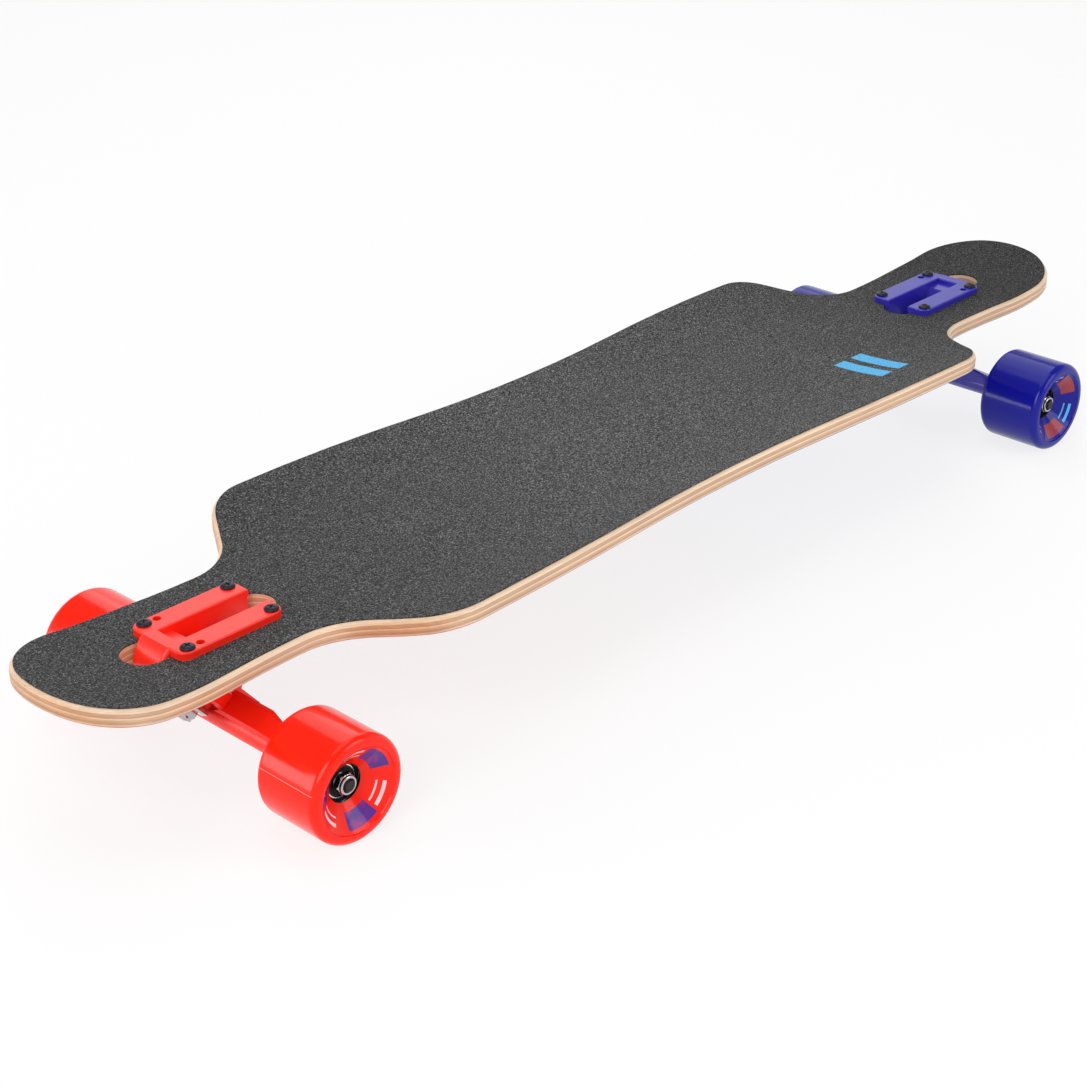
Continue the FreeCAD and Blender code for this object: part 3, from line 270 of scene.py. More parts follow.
def new_group(name, inputs, outputs):
    """A shader node group with inputs (name, kind, default) and outputs (name, kind)."""
    tree = bpy.data.node_groups.new(name, "ShaderNodeTree")
    for label, kind, default in inputs:
        socket = tree.interface.new_socket(label, in_out="INPUT", socket_type="NodeSocket" + kind)
        socket.default_value = default
    for label, kind in outputs:
        tree.interface.new_socket(label, in_out="OUTPUT", socket_type="NodeSocket" + kind)
    wiring = Wiring(tree)
    entry = tree.nodes.new("NodeGroupInput").outputs
    leave = tree.nodes.new("NodeGroupOutput").inputs
    return tree, wiring, entry, leave


def shared(name):
    """Build a node group when it is first asked for, and hand the same one out after that."""
    def wrap(build):
        def fetch():
            return bpy.data.node_groups.get(name) or build(name)
        return fetch
    return wrap


@shared("Tone drift")
def tone_group(name):
    """Slow drift of a colour between a little darker and a little lighter."""
    tree, wiring, entry, leave = new_group(
        name, [("Colour", "Color", (0.5, 0.5, 0.5, 1)), ("Amount", "Float", 0.1), ("Scale", "Float", 30.0)],
        [("Colour", "Color")])
    cloud = wiring.noise(wiring.place(), entry["Scale"], 3.0, 0.6)
    swing = wiring.math("MULTIPLY", wiring.math("SUBTRACT", cloud, 0.5), entry["Amount"])
    level = wiring.math("MULTIPLY_ADD", swing, 2.0, 1.0)
    wiring.feed(leave["Colour"], wiring.mix(1.0, entry["Colour"], wiring.grey(level), "MULTIPLY"))
    return tree


@shared("Handling marks")
def scuff_group(name):
    """Handling marks: a roughness that varies, and fine scratches as a height."""
    tree, wiring, entry, leave = new_group(
        name, [("Roughness", "Float", 0.4), ("Spread", "Float", 0.1), ("Scale", "Float", 60.0)],
        [("Roughness", "Float"), ("Height", "Float")])
    place = wiring.place()
    cloud = wiring.noise(place, entry["Scale"], 4.0, 0.65)
    swing = wiring.math("MULTIPLY", wiring.math("SUBTRACT", cloud, 0.5), entry["Spread"])
    streak = wiring.noise(wiring.stretch(place, (90.0, 1400.0, 1100.0)), 1.0, 2.0, 0.6)
    scratch = wiring.step(streak, 0.66, 0.74)
    varied = wiring.math("ADD", entry["Roughness"], swing)
    wiring.feed(leave["Roughness"], wiring.math("MULTIPLY_ADD", scratch, 0.06, varied))
    wiring.feed(leave["Height"], wiring.math("MULTIPLY", scratch, -1.0))
    return tree


@shared("Orange peel")
def peel_group(name):
    """The slight orange peel of a sprayed or cast skin, as a height."""
    tree, wiring, entry, leave = new_group(name, [("Scale", "Float", 500.0)], [("Height", "Float")])
    wiring.feed(leave["Height"], wiring.noise(wiring.place(), entry["Scale"], 1.0, 0.4))
    return tree


@shared("Round the axle")
def polar_group(name):
    """A point round a wheel: distance from the axle, turn about it, reach from the board's middle."""
    tree, wiring, entry, leave = new_group(
        name, [("Centre", "Vector", (0, 0, 0))],
        [("Radius", "Float"), ("Turn", "Float"), ("Reach", "Float")])
    place = wiring.place()
    offset = wiring.put("VectorMath", {0: place, 1: entry["Centre"]}, operation="SUBTRACT").outputs[0]
    x, _, z = wiring.split(offset)
    wiring.feed(leave["Radius"], wiring.distance(x, z))
    wiring.feed(leave["Turn"], wiring.math("ARCTAN2", z, x))
    wiring.feed(leave["Reach"], wiring.math("ABSOLUTE", wiring.split(place)[1]))
    return tree


@shared("Depth in the plies")
def ply_group(name):
    """How deep a point lies under the pressed top of the deck, as a share of the deck's thickness."""
    tree, wiring, entry, leave = new_group(
        name,
        [(label, "Float", size) for label, size in (
            ("Top", 0.0936), ("Thickness", 0.012), ("Flat half", 0.030), ("Concave radius", 0.299),
            ("Mount inner", 0.330), ("Mount outer", 0.410), ("Camber", 0.003), ("Camber blend", 0.080),
            ("Kick radius", 0.300))],
        [("Depth", "Float")])
    x, y, z = wiring.split(wiring.place())
    along = wiring.math("ABSOLUTE", x)
    across = wiring.math("ABSOLUTE", y)

    def sag(run, radius):
        past = wiring.math("MAXIMUM", run, 0.0)
        square = wiring.math("MULTIPLY", past, past)
        return wiring.math("DIVIDE", square, wiring.math("MULTIPLY", radius, 2.0))

    concave = sag(wiring.math("SUBTRACT", across, entry["Flat half"]), entry["Concave radius"])
    kick = sag(wiring.math("SUBTRACT", along, entry["Mount outer"]), entry["Kick radius"])
    # Near the mounts the camber leaves the flat on one parabola and joins the crown's parabola
    inner = entry["Mount inner"]
    blend = entry["Camber blend"]
    twice = wiring.math("MULTIPLY", entry["Camber"], 2.0)
    crown_half = wiring.math("SUBTRACT", inner, blend)
    blend_radius = wiring.math("DIVIDE", wiring.math("MULTIPLY", blend, inner), twice)
    crown_radius = wiring.math("DIVIDE", wiring.math("MULTIPLY", crown_half, inner), twice)
    rise = sag(wiring.math("SUBTRACT", inner, along), blend_radius)
    crown = wiring.math("SUBTRACT", entry["Camber"], sag(along, crown_radius))
    outside = wiring.math("GREATER_THAN", along, crown_half)
    camber = wiring.math("MULTIPLY_ADD", outside, wiring.math("SUBTRACT", rise, crown), crown)
    pressed = wiring.math("ADD", entry["Top"], concave)
    surface = wiring.math("ADD", pressed, wiring.math("ADD", kick, camber))
    depth = wiring.math("DIVIDE", wiring.math("SUBTRACT", surface, z), entry["Thickness"])
    wiring.feed(leave["Depth"], depth)
    return tree


def new_material(name, **constants):
    """A material with one Principled shader, whose even values are set on its own sockets."""
    material = bpy.data.materials.new(name)
    material.use_nodes = True
    material.node_tree.nodes.clear()
    wiring = Wiring(material.node_tree)
    shader = wiring.put("BsdfPrincipled")
    wiring.put("OutputMaterial", {"Surface": shader.outputs[0]})
    for key, item in constants.items():
        shader.inputs[key.replace("_", " ")].default_value = item
    return material, wiring, shader.inputs


def tint(wiring, sockets, colour, drift, scale):
    """Feed a colour that drifts a little."""
    toned = wiring.group(tone_group(), colour=colour, amount=drift, scale=scale)
    wiring.feed(sockets["Base Color"], toned["Colour"])


def scuff(wiring, sockets, roughness, spread, scale):
    """Feed a roughness that varies, and give the height of its fine scratches."""
    marks = wiring.group(scuff_group(), roughness=roughness, spread=spread, scale=scale)
    wiring.feed(sockets["Roughness"], marks["Roughness"])
    return marks["Height"]


def wear(wiring, sockets, roughness, spread, scale, peel=None, depth=2e-5):
    """Feed varied roughness, and a bump of fine scratches and, where given, orange peel."""
    height = scuff(wiring, sockets, roughness, spread, scale)
    if peel:
        skin = wiring.group(peel_group(), scale=peel)["Height"]
        height = wiring.math("MULTIPLY_ADD", height, 0.4, skin)
    wiring.feed(sockets["Normal"], wiring.bump(height, depth))


def paint_material(name, colour, coat):
    material, wiring, sockets = new_material(
        name, Coat_Weight=coat, Coat_Roughness=0.22, Specular_IOR_Level=0.4)
    tint(wiring, sockets, rgba(colour), drift=0.05, scale=45.0)
    wear(wiring, sockets, roughness=0.36, spread=0.10, scale=80.0, peel=620.0, depth=3e-5)
    return material


def metal_material(name, colour, roughness, spread):
    material, wiring, sockets = new_material(name, Metallic=1.0)
    tint(wiring, sockets, rgba(colour), drift=0.06, scale=120.0)
    wear(wiring, sockets, roughness, spread, scale=300.0, depth=1e-5)
    return material


def black_material(name, colour, roughness, metallic):
    material, wiring, sockets = new_material(name, Metallic=metallic, Specular_IOR_Level=0.5)
    tint(wiring, sockets, rgba(colour), drift=0.12, scale=200.0)
    wear(wiring, sockets, roughness, spread=0.15, scale=260.0, peel=1500.0)
    return material


# Meshes

def span(made, lower, upper):
    """Faces between two rings of points."""
    count = len(lower)
    for index in range(count):
        following = (index + 1) % count
        made.faces.new((lower[index], lower[following], upper[following], upper[index]))


def turned(rings, segments):
    """A mesh turned about Z, open at its ends. A ring is (height, radius or a function of the turn)."""
    made = bmesh.new()
    loops = []
    for height, radius in rings:
        loop = []
        for index in range(segments):
            turn = 2 * math.pi * index / segments
            reach = radius(turn) if callable(radius) else radius
            loop.append(made.verts.new((reach * math.cos(turn), reach * math.sin(turn), height)))
        loops.append(loop)
    for lower, upper in zip(loops, loops[1:]):
        span(made, lower, upper)
    return made, loops


def close_ends(made, loops):
    made.faces.new(list(reversed(loops[0])))
    made.faces.new(loops[-1])


def close_round(made, loops):
    """Join the last ring to the first, for a piece with a bore."""
    span(made, loops[-1], loops[0])


def finish_mesh(made, name, sharp=35.0):
    """Smooth shading with the sharp edges kept, as a mesh datablock."""
    bmesh.ops.recalc_face_normals(made, faces=made.faces)
    limit = math.radians(sharp)
    for face in made.faces:
        face.smooth = True
    for edge in made.edges:
        edge.smooth = len(edge.link_faces) < 2 or edge.calc_face_angle(0.0) < limit
    mesh = bpy.data.meshes.new(name)
    made.to_mesh(mesh)
    made.free()
    return mesh


def add_piece(name, mesh, materials):
    piece = bpy.data.objects.new(name, mesh)
    bpy.context.scene.collection.objects.link(piece)
    for material in materials:
        mesh.materials.append(material)
    return piece


def gather(name, mesh, places, materials):
    """One piece that holds a copy of a mesh at each place."""
    made = bmesh.new()
    for spot in places:
        copy = mesh.copy()
        copy.transform(spot)
        made.from_mesh(copy)
        bpy.data.meshes.remove(copy)
    joined = bpy.data.meshes.new(name)
    made.to_mesh(joined)
    made.free()
    return add_piece(name, joined, materials)


def thread(radius, pitch, depth, start, end):
    """Rings of a screw thread between two heights, and the height after them."""
    def at(height):
        def reach(turn):
            phase = (height / pitch - turn / (2 * math.pi)) % 1.0
            return radius - depth * abs(2 * phase - 1)
        return reach
    rings = []
    height = start
    while height < end:
        rings.append((height, at(height)))
        height += pitch / THREAD_STEPS
    return rings, height


def hexagon(width):
    """The radius of a hexagon with the given width across its flats, as a function of the turn."""
    def reach(turn):
        return width / 2 / math.cos((turn % (math.pi / 3)) - math.pi / 6)
    return reach


def trimmed(reach, limit):
    return lambda turn: min(reach(turn), limit)


def lock_nut(name, width, height, bore):
    """A lock nut on Z = 0: hexagon, crimped collar and, as the second material, a nylon ring."""
    flats = hexagon(width)
    corner = width / 2 / math.cos(math.pi / 6)
    collar = width * 0.488
    rim = bore + (collar - bore) * 0.3
    # Each ring's height is a share of the nut's height
    rings = [(0.0, trimmed(flats, corner * 0.93)), (0.06, flats), (0.58, flats),
             (0.68, trimmed(flats, corner * 0.89)), (0.71, collar), (0.90, collar), (0.97, collar * 0.965),
             (1.0, collar * 0.92), (1.0, rim), (0.97, rim * 0.96), (0.88, bore * 1.07),
             (0.85, bore), (0.0, bore)]
    made, loops = turned([(height * share, radius) for share, radius in rings], sizes().segments)
    close_round(made, loops)
    mouth, inside = height * 0.855, rim * 0.985
    for face in made.faces:
        middle = face.calc_center_median()
        if middle.z > mouth and middle.xy.length < inside:
            face.material_index = 1
    return finish_mesh(made, name, 25.0)


def dress_nodes(names, material):
    """Give CAD nodes a finished material."""
    for name in names:
        mesh = frame["nodes"][name].data
        mesh.materials.clear()
        mesh.materials.append(material)


def kingpin_frame(end):
    """Middle of a hanger's ring, the kingpin's direction towards the road, and the turn of Z to it."""
    joint = [j for j in frame["joints"] if j["name"] == end + "_steer"][0]
    centre = Vector(joint["pos_m"])
    pin = Vector(joint["axis"]).cross(Vector((0, 1, 0))).normalized()
    if pin.z > 0:
        pin = -pin
    return centre, pin, Vector((0, 0, 1)).rotation_difference(pin).to_matrix().to_4x4()


def wheel_spots():
    """Each wheel's end, name and middle."""
    for end in ENDS:
        for flank in FLANKS:
            name = f"{end}_{flank}"
            low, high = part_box(name + "_wheel")
            yield end, name, tuple((low + high) / 2)


# Pieces

class LONGBOARD_OT_deck(bpy.types.Operator):
    """Finish the maple deck: plies along its edge, clear wood on top and a colour fade underneath"""
    bl_idname = "longboard.deck"
    bl_label = "Deck"

    def execute(self, context):
        palette = colours()
        material, wiring, sockets = new_material("maple", Coat_Weight=0.15, Coat_Roughness=0.3)
        place = wiring.place()
        x, y, _ = wiring.split(place)
        aside = wiring.math("ABSOLUTE", y)
        depth = wiring.group(ply_group())["Depth"]
        wobble = wiring.noise(wiring.stretch(place, (14.0, 14.0, 60.0)), 1.0)
        ply = wiring.math("MULTIPLY_ADD", wiring.math("SUBTRACT", wobble, 0.5), 0.03, depth)
        pale, tan = palette.maple_pale, palette.maple_tan
        plies = wiring.ramp(ply, [(share, shade(tone, factor)) for share, tone, factor in (
            (0.00, pale, 1.00), (0.04, pale, 0.88), (0.09, pale, 0.96), (0.13, pale, 0.85),
            (0.16, pale, 1.05), (0.22, pale, 0.96), (0.245, tan, 0.84), (0.28, tan, 1.08),
            (0.40, tan, 1.00), (0.44, tan, 0.84), (0.47, pale, 1.06), (0.52, pale, 0.98),
            (0.55, tan, 1.22), (0.65, tan, 1.10), (0.69, tan, 0.92), (0.78, tan, 0.90),
            (0.82, pale, 0.98), (0.90, pale, 0.88), (1.00, pale, 0.70))])
        fibre = wiring.noise(wiring.stretch(place, (40.0, 260.0, 1600.0)), 1.0, 4.0, 0.7)
        figure = wiring.noise(wiring.stretch(place, (7.0, 60.0, 300.0)), 1.0, 3.0, 0.6)
        grain = wiring.math("MULTIPLY_ADD", fibre, 0.6, wiring.math("MULTIPLY", figure, 0.4))
        streak = wiring.step(grain, 0.36, 0.66, 0.84, 1.08)
        wood = wiring.mix(1.0, plies, wiring.grey(streak), "MULTIPLY")
        # End grain at the tips is darker than the sanded sides, and painted shade darkens the tips, which
        # face along the board, further; painted shade also darkens the walls of the slots a little
        normal = wiring.split(wiring.put("NewGeometry").outputs["Normal"])
        slot_across = wiring.step(aside, 0.026, 0.025)
        slot_along = wiring.between(wiring.math("ABSOLUTE", x), 0.28, 0.46, 0.002)
        slot_shade = wiring.math("MULTIPLY", slot_across, slot_along)
        tip_grain_and_shade = wiring.step(wiring.math("ABSOLUTE", normal[0]), 0.30, 0.90)
        tip_grain_and_shade = wiring.math("MULTIPLY", tip_grain_and_shade, wiring.math("SUBTRACT", 1.0, slot_shade))
        for mask, grain_and_shade_tint in ((tip_grain_and_shade, (0.80, 0.66, 0.54, 1.0)), (slot_shade, (0.95, 0.90, 0.82, 1.0))):
            wood = wiring.mix(mask, wood, wiring.mix(1.0, wood, grain_and_shade_tint, "MULTIPLY"))
        # Underneath, the rear colour fades through violet to the front colour, with pale chevrons
        fade_end, chevron_lean, chevron_half = 0.34, 0.8, 0.045
        run = wiring.step(x, -fade_end, fade_end)
        fade = wiring.ramp(run, [(0.0, shade(palette.rear_red, 0.75)), (0.42, (0.36, 0.012, 0.07)),
                                 (0.60, (0.10, 0.010, 0.16)), (1.0, palette.front_blue)])
        slant = wiring.math("MULTIPLY_ADD", aside, chevron_lean, x)
        bars = wiring.math("PINGPONG", slant, chevron_half)
        fade = wiring.mix(wiring.step(bars, 0.030, 0.0305, 0.0, 0.16), fade, (0.9, 0.85, 0.9, 1.0))
        facing_down = wiring.step(normal[2], -0.28, -0.45)
        under = wiring.math("MULTIPLY", facing_down, wiring.step(depth, 0.89, 0.92))
        tint(wiring, sockets, wiring.mix(under, wood, fade), drift=0.10, scale=9.0)
        scratch = scuff(wiring, sockets, roughness=0.46, spread=0.18, scale=40.0)
        height = wiring.math("MULTIPLY_ADD", fibre, 0.8, wiring.math("MULTIPLY", scratch, 0.3))
        wiring.feed(sockets["Normal"], wiring.bump(height, 6e-5, 0.8))
        dress_nodes(["deck"], material)
        return {"FINISHED"}


class LONGBOARD_OT_grip(bpy.types.Operator):
    """Finish the grip tape: coarse grit with bright grains, painted shade towards the tips and two plain
    bars
    """
    bl_idname = "longboard.grip"
    bl_label = "Grip tape"

    def execute(self, context):
        palette = colours()
        material, wiring, sockets = new_material("grit", Specular_IOR_Level=0.35)
        place = wiring.place()
        x, y, _ = wiring.split(place)
        fine = wiring.noise(place, 900.0, 2.0, 0.8)
        coarse = wiring.noise(place, 620.0, 1.0, 0.5)
        cells = wiring.put("TexVoronoi", {"Vector": place, "Scale": 900.0}, feature="F1")
        grains = cells.outputs["Distance"]
        spark = wiring.math("MULTIPLY", wiring.step(fine, 0.46, 0.66), wiring.step(grains, 0.75, 0.20))
        cloud = wiring.noise(place, 7.0, 4.0, 0.55)
        level = wiring.math("MULTIPLY_ADD", wiring.math("SUBTRACT", coarse, 0.5), 5.0,
                            wiring.math("MULTIPLY_ADD", cloud, 0.24, 0.88))
        ground = wiring.mix(1.0, rgba(palette.grip_grey), wiring.grey(level), "MULTIPLY")
        grit = wiring.mix(spark, ground, rgba(palette.grip_grain))
        # Painted light and shade along the board: lightest a little ahead of the middle, darker towards
        # both tips
        run = wiring.put("MapRange", {0: x, 1: -0.5, 2: 0.5}).outputs[0]
        wear_and_shade = wiring.ramp(run, [(share, (pale,) * 3) for share, pale in (
            (0.0, 0.64), (0.22, 0.70), (0.46, 1.00), (0.70, 0.90), (0.92, 0.40))])
        grit = wiring.mix(1.0, grit, wear_and_shade, "MULTIPLY")
        # Two plain bars across the board near the front truck, on the right
        soft = 0.0004
        across = wiring.between(y, -0.079, -0.035, soft)
        first = wiring.between(x, 0.200, 0.213, soft)
        second = wiring.between(x, 0.221, 0.234, soft)
        bars = wiring.math("MULTIPLY", across, wiring.math("ADD", first, second))
        inked = wiring.math("MULTIPLY", bars, wiring.step(fine, 0.30, 0.42))
        wiring.feed(sockets["Base Color"], wiring.mix(inked, grit, rgba(palette.sky)))
        wiring.feed(sockets["Roughness"], wiring.step(fine, 0.4, 0.75, 0.95, 0.55))
        height = wiring.math("SUBTRACT", wiring.math("MULTIPLY", fine, 0.7), grains)
        wiring.feed(sockets["Normal"], wiring.bump(height, 4e-4, 0.9))
        dress_nodes(["grip_tape"], material)
        return {"FINISHED"}


class LONGBOARD_OT_trucks(bpy.types.Operator):
    """Finish the cast baseplates and hangers in satin paint"""
    bl_idname = "longboard.trucks"
    bl_label = "Trucks"

    def execute(self, context):
        palette = colours()
        for end, colour, coat in (("front", palette.front_blue, 0.5), ("rear", palette.rear_red, 0.1)):
            material = paint_material(end + "_paint", colour, coat)
            dress_nodes([end + "_baseplate", end + "_hanger"], material)
        cup = black_material("cup_nylon", (0.025, 0.025, 0.027), roughness=0.5, metallic=0.0)
        dress_nodes([end + "_pivot_cup" for end in ENDS], cup)
        return {"FINISHED"}


class LONGBOARD_OT_bushings(bpy.types.Operator):
    """Turn the soft bushings: a barrel on the board side and a cone on the road side of each hanger"""
    bl_idname = "longboard.bushings"
    bl_label = "Bushings"

    def execute(self, context):
        swell = sizes().bushing_swell
        steps = sizes().segments
        # Heights along the kingpin from the middle of the hanger's ring, positive to the road.
        # The bore is tight at the washer and opens towards the hanger, which leans.
        cone = [(0.0036, 0.0064), (0.0036, 0.0126), (0.0038, 0.0131), (0.0043, 0.0134), (0.0050, 0.0133),
                (0.0065, 0.0127 + swell), (0.0080, 0.0122 + swell), (0.0095, 0.0118 + swell),
                (0.0110, 0.0113 + swell), (0.0142, 0.0107), (0.0150, 0.0104), (0.0155, 0.0098),
                (0.0155, 0.0051), (0.0110, 0.0060), (0.0080, 0.0065), (0.0055, 0.0065)]
        barrel = [(-0.0036, 0.0064), (-0.0036, 0.0120), (-0.0039, 0.0124), (-0.0045, 0.0127),
                  (-0.0058, 0.0128), (-0.0070, 0.0129), (-0.0085, 0.0129 + swell),
                  (-0.0100, 0.0129 + swell), (-0.0130, 0.0129), (-0.0155, 0.0127), (-0.0162, 0.0124),
                  (-0.0165, 0.0120),
                  (-0.0165, 0.0051), (-0.0110, 0.0060), (-0.0080, 0.0065), (-0.0055, 0.0065)]
        palette = colours()
        for end, colour in (("front", palette.front_blue), ("rear", palette.rear_red)):
            material, wiring, sockets = new_material(
                end + "_bushing", Subsurface_Weight=0.12, Subsurface_Scale=0.002, Specular_IOR_Level=0.4)
            tint(wiring, sockets, shade(colour, 0.85), drift=0.08, scale=90.0)
            wear(wiring, sockets, roughness=0.42, spread=0.12, scale=120.0, peel=700.0, depth=3e-5)
            centre, pin, turn = kingpin_frame(end)
            for name, profile, still in (("roadside", cone, 0.0125), ("boardside", barrel, -0.0125)):
                made, loops = turned(profile, steps)
                close_round(made, loops)
                mesh = finish_mesh(made, f"{end}_{name}_bushing_form", 40.0)
                mesh.transform(Matrix.Translation(centre) @ turn)
                piece = add_piece(f"{end}_{name}_bushing_form", mesh, [material])
                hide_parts(f"{end}_{name}_bushing")
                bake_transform(piece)
        return {"FINISHED"}


class LONGBOARD_OT_mounting(bpy.types.Operator):
    """Turn the pan-head bolts that hold the trucks, with cross recesses and threads, and their lock nuts"""
    bl_idname = "longboard.mounting"
    bl_label = "Mounting bolts"

    def recess(self):
        """A tapered cross that cuts the driver's recess."""
        arm, web, depth, above = 0.0026, 0.0006, 0.0014, 0.001
        corners = []
        for turn in range(4):
            spin = Matrix.Rotation(turn * math.pi / 2, 2)
            corners += [spin @ Vector(spot) for spot in ((arm, -web), (arm, web), (web, web))]
        crown = sizes().bolt_crown
        made = bmesh.new()
        levels = []
        for height, share in ((crown - depth, 0.62), (crown + above, 1.1)):
            levels.append([made.verts.new((c.x * share, c.y * share, height)) for c in corners])
        close_ends(made, levels)
        span(made, *levels)
        return add_piece("recess", finish_mesh(made, "recess"), [])

    def bolt(self, length):
        """One bolt with its head on Z = 0."""
        head = sizes().bolt_head / 2
        crown = sizes().bolt_crown
        shank, groove, thread_length = 0.0024, 0.00042, 0.0120
        plain = shank - 0.00004
        edge, crown_steps, crown_share = 0.0005, 9, 0.62
        start = -length
        cut, height = thread(shank, sizes().bolt_pitch, groove, start + 0.0005, start + thread_length)
        rings = [(start, 0.0017), (start + 0.0004, 0.0020), *cut, (height, plain), (-0.0003, plain),
                 (0.0, shank), (0.0, head - 0.0004), (0.00015, head - 0.0001), (edge, head)]
        for index in range(1, crown_steps):
            lean = math.pi / 2 * index / crown_steps
            radius = head * (1 - crown_share * (1 - math.cos(lean)))
            rings.append((edge + (crown - edge) * math.sin(lean), radius))
        made, loops = turned(rings, 48)
        close_ends(made, loops)
        blank = add_piece("bolt_blank", finish_mesh(made, "bolt_blank"), [])
        cutter = self.recess()
        carve = blank.modifiers.new("recess", "BOOLEAN")
        carve.object = cutter
        carve.operation = "DIFFERENCE"
        carve.solver = "EXACT"
        bpy.context.view_layer.update()
        result = bpy.data.meshes.new_from_object(blank.evaluated_get(bpy.context.evaluated_depsgraph_get()))
        for scrap in (blank, cutter):
            bpy.data.objects.remove(scrap)
        made = bmesh.new()
        made.from_mesh(result)
        bpy.data.meshes.remove(result)
        return finish_mesh(made, "bolt")

    def execute(self, context):
        black = black_material("bolt_black", (0.016, 0.012, 0.022), roughness=0.38, metallic=0.55)
        nylon = black_material("nut_nylon", (0.55, 0.55, 0.60), roughness=0.45, metallic=0.0)
        bolt = self.bolt(length=0.029)
        nut = lock_nut("lock_nut", width=0.0095, height=0.005, bore=0.00243)
        turns = (12.0, 55.0, 31.0, 78.0)
        for end in ENDS:
            low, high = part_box(end + "_mounting_bolts")
            half = sizes().bolt_head / 2
            top = high.z - sizes().bolt_crown
            spots = [(x, y) for x in (low.x + half, high.x - half) for y in (low.y + half, high.y - half)]
            places = [Matrix.Translation((x, y, top)) @ Matrix.Rotation(math.radians(turn), 4, "Z")
                      for (x, y), turn in zip(spots, turns)]
            piece = gather(end + "_mounting_bolts_form", bolt, places, [black])
            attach(piece, "deck")
            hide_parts(end + "_mounting_bolts")
            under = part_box(end + "_mounting_nuts")[1].z
            flip = Matrix.Rotation(math.pi, 4, "X")
            places = [Matrix.Translation((x, y, under)) @ Matrix.Rotation(math.radians(turn), 4, "Z") @ flip
                      for (x, y), turn in zip(spots, reversed(turns))]
            piece = gather(end + "_mounting_nuts_form", nut, places, [black, nylon])
            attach(piece, "deck")
            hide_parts(end + "_mounting_nuts")
        bpy.data.meshes.remove(bolt)
        bpy.data.meshes.remove(nut)
        return {"FINISHED"}


class LONGBOARD_OT_hardware(bpy.types.Operator):
    """Turn the kingpins and their and the axles' lock nuts, and finish washers, rings, spacers and axles"""
    bl_idname = "longboard.hardware"
    bl_label = "Kingpins and axles"

    def end_nuts(self, end, materials):
        """The two lock nuts on an axle."""
        height = 0.006
        mesh = lock_nut("end_nut", width=0.0127, height=height, bore=0.00404)
        low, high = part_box(end + "_axle_nuts")
        x, z = (low.x + high.x) / 2, (low.z + high.z) / 2
        places = [Matrix.Translation((x, face, z)) @ Matrix.Rotation(math.radians(lean), 4, "X")
                  for face, lean in ((high.y - height, -90), (low.y + height, 90))]
        piece = gather(end + "_axle_nuts_form", mesh, places, materials)
        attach(piece, end + "_truck")
        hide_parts(end + "_axle_nuts")
        bpy.data.meshes.remove(mesh)

    def pin(self, end, material):
        """A kingpin: chamfered hexagon head in the baseplate's channel, shank and threaded end."""
        radius, groove, pitch = 0.00476, 0.0004, 0.00106
        flats = hexagon(0.0143)
        corner = flats(0.0)
        # Heights along the kingpin from the middle of the hanger's ring, positive to the road
        head_seat, thread_start, thread_end = -0.0267, 0.0150, 0.0253
        cut, _ = thread(radius, pitch, groove, thread_start, thread_end)
        rings = [(-0.0332, trimmed(flats, corner * 0.86)), (-0.0331, trimmed(flats, corner * 0.88)),
                 (-0.0322, flats), (-0.0269, flats), (head_seat, trimmed(flats, corner * 0.95)),
                 (head_seat, radius), (thread_start - 0.0003, radius), *cut,
                 (0.0254, 0.0044), (0.0260, 0.00376)]
        made, loops = turned(rings, sizes().segments)
        close_ends(made, loops)
        mesh = finish_mesh(made, end + "_kingpin_form", 25.0)
        centre, _, turn = kingpin_frame(end)
        mesh.transform(Matrix.Translation(centre) @ turn @ Matrix.Rotation(math.radians(30), 4, "Z"))
        piece = add_piece(end + "_kingpin_form", mesh, [material])
        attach(piece, "deck")
        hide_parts(end + "_kingpin")

    def pin_nut(self, end, materials):
        """The lock nut on a kingpin."""
        washer_top = 0.0177
        centre, pin, turn = kingpin_frame(end)
        mesh = lock_nut(end + "_kingpin_nut_form", width=0.0143, height=0.0075, bore=0.00482)
        mesh.transform(Matrix.Translation(centre + pin * washer_top) @ turn)
        piece = add_piece(end + "_kingpin_nut_form", mesh, materials)
        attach(piece, "deck")
        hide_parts(end + "_kingpin_nut")

    def execute(self, context):
        nylon = black_material("collar_nylon", (0.03, 0.03, 0.034), roughness=0.5, metallic=0.0)
        chrome = metal_material("plated_steel", (0.46, 0.46, 0.48), roughness=0.09, spread=0.06)
        ground = metal_material("ground_steel", (0.52, 0.52, 0.54), roughness=0.30, spread=0.12)
        oxide, wiring, sockets = new_material("oxide_thread", Metallic=0.8)
        tint(wiring, sockets, (0.035, 0.033, 0.036, 1.0), drift=0.15, scale=200.0)
        scuff(wiring, sockets, roughness=0.42, spread=0.1, scale=300.0)
        half_pitch = 0.000625
        ridge = wiring.math("PINGPONG", wiring.split(wiring.place())[1], half_pitch)
        wiring.feed(sockets["Normal"], wiring.bump(ridge, 0.5))
        finishes = (
            (chrome, ("roadside_washer", "boardside_washer", "speed_rings")),
            (ground, ("bearing_inner_rings", "bearing_spacers")),
            (oxide, ("axle",)),
        )
        for end in ENDS:
            for material, names in finishes:
                dress_nodes([f"{end}_{name}" for name in names], material)
            self.pin(end, ground)
            self.end_nuts(end, [chrome, nylon])
            self.pin_nut(end, [chrome, nylon])
        return {"FINISHED"}


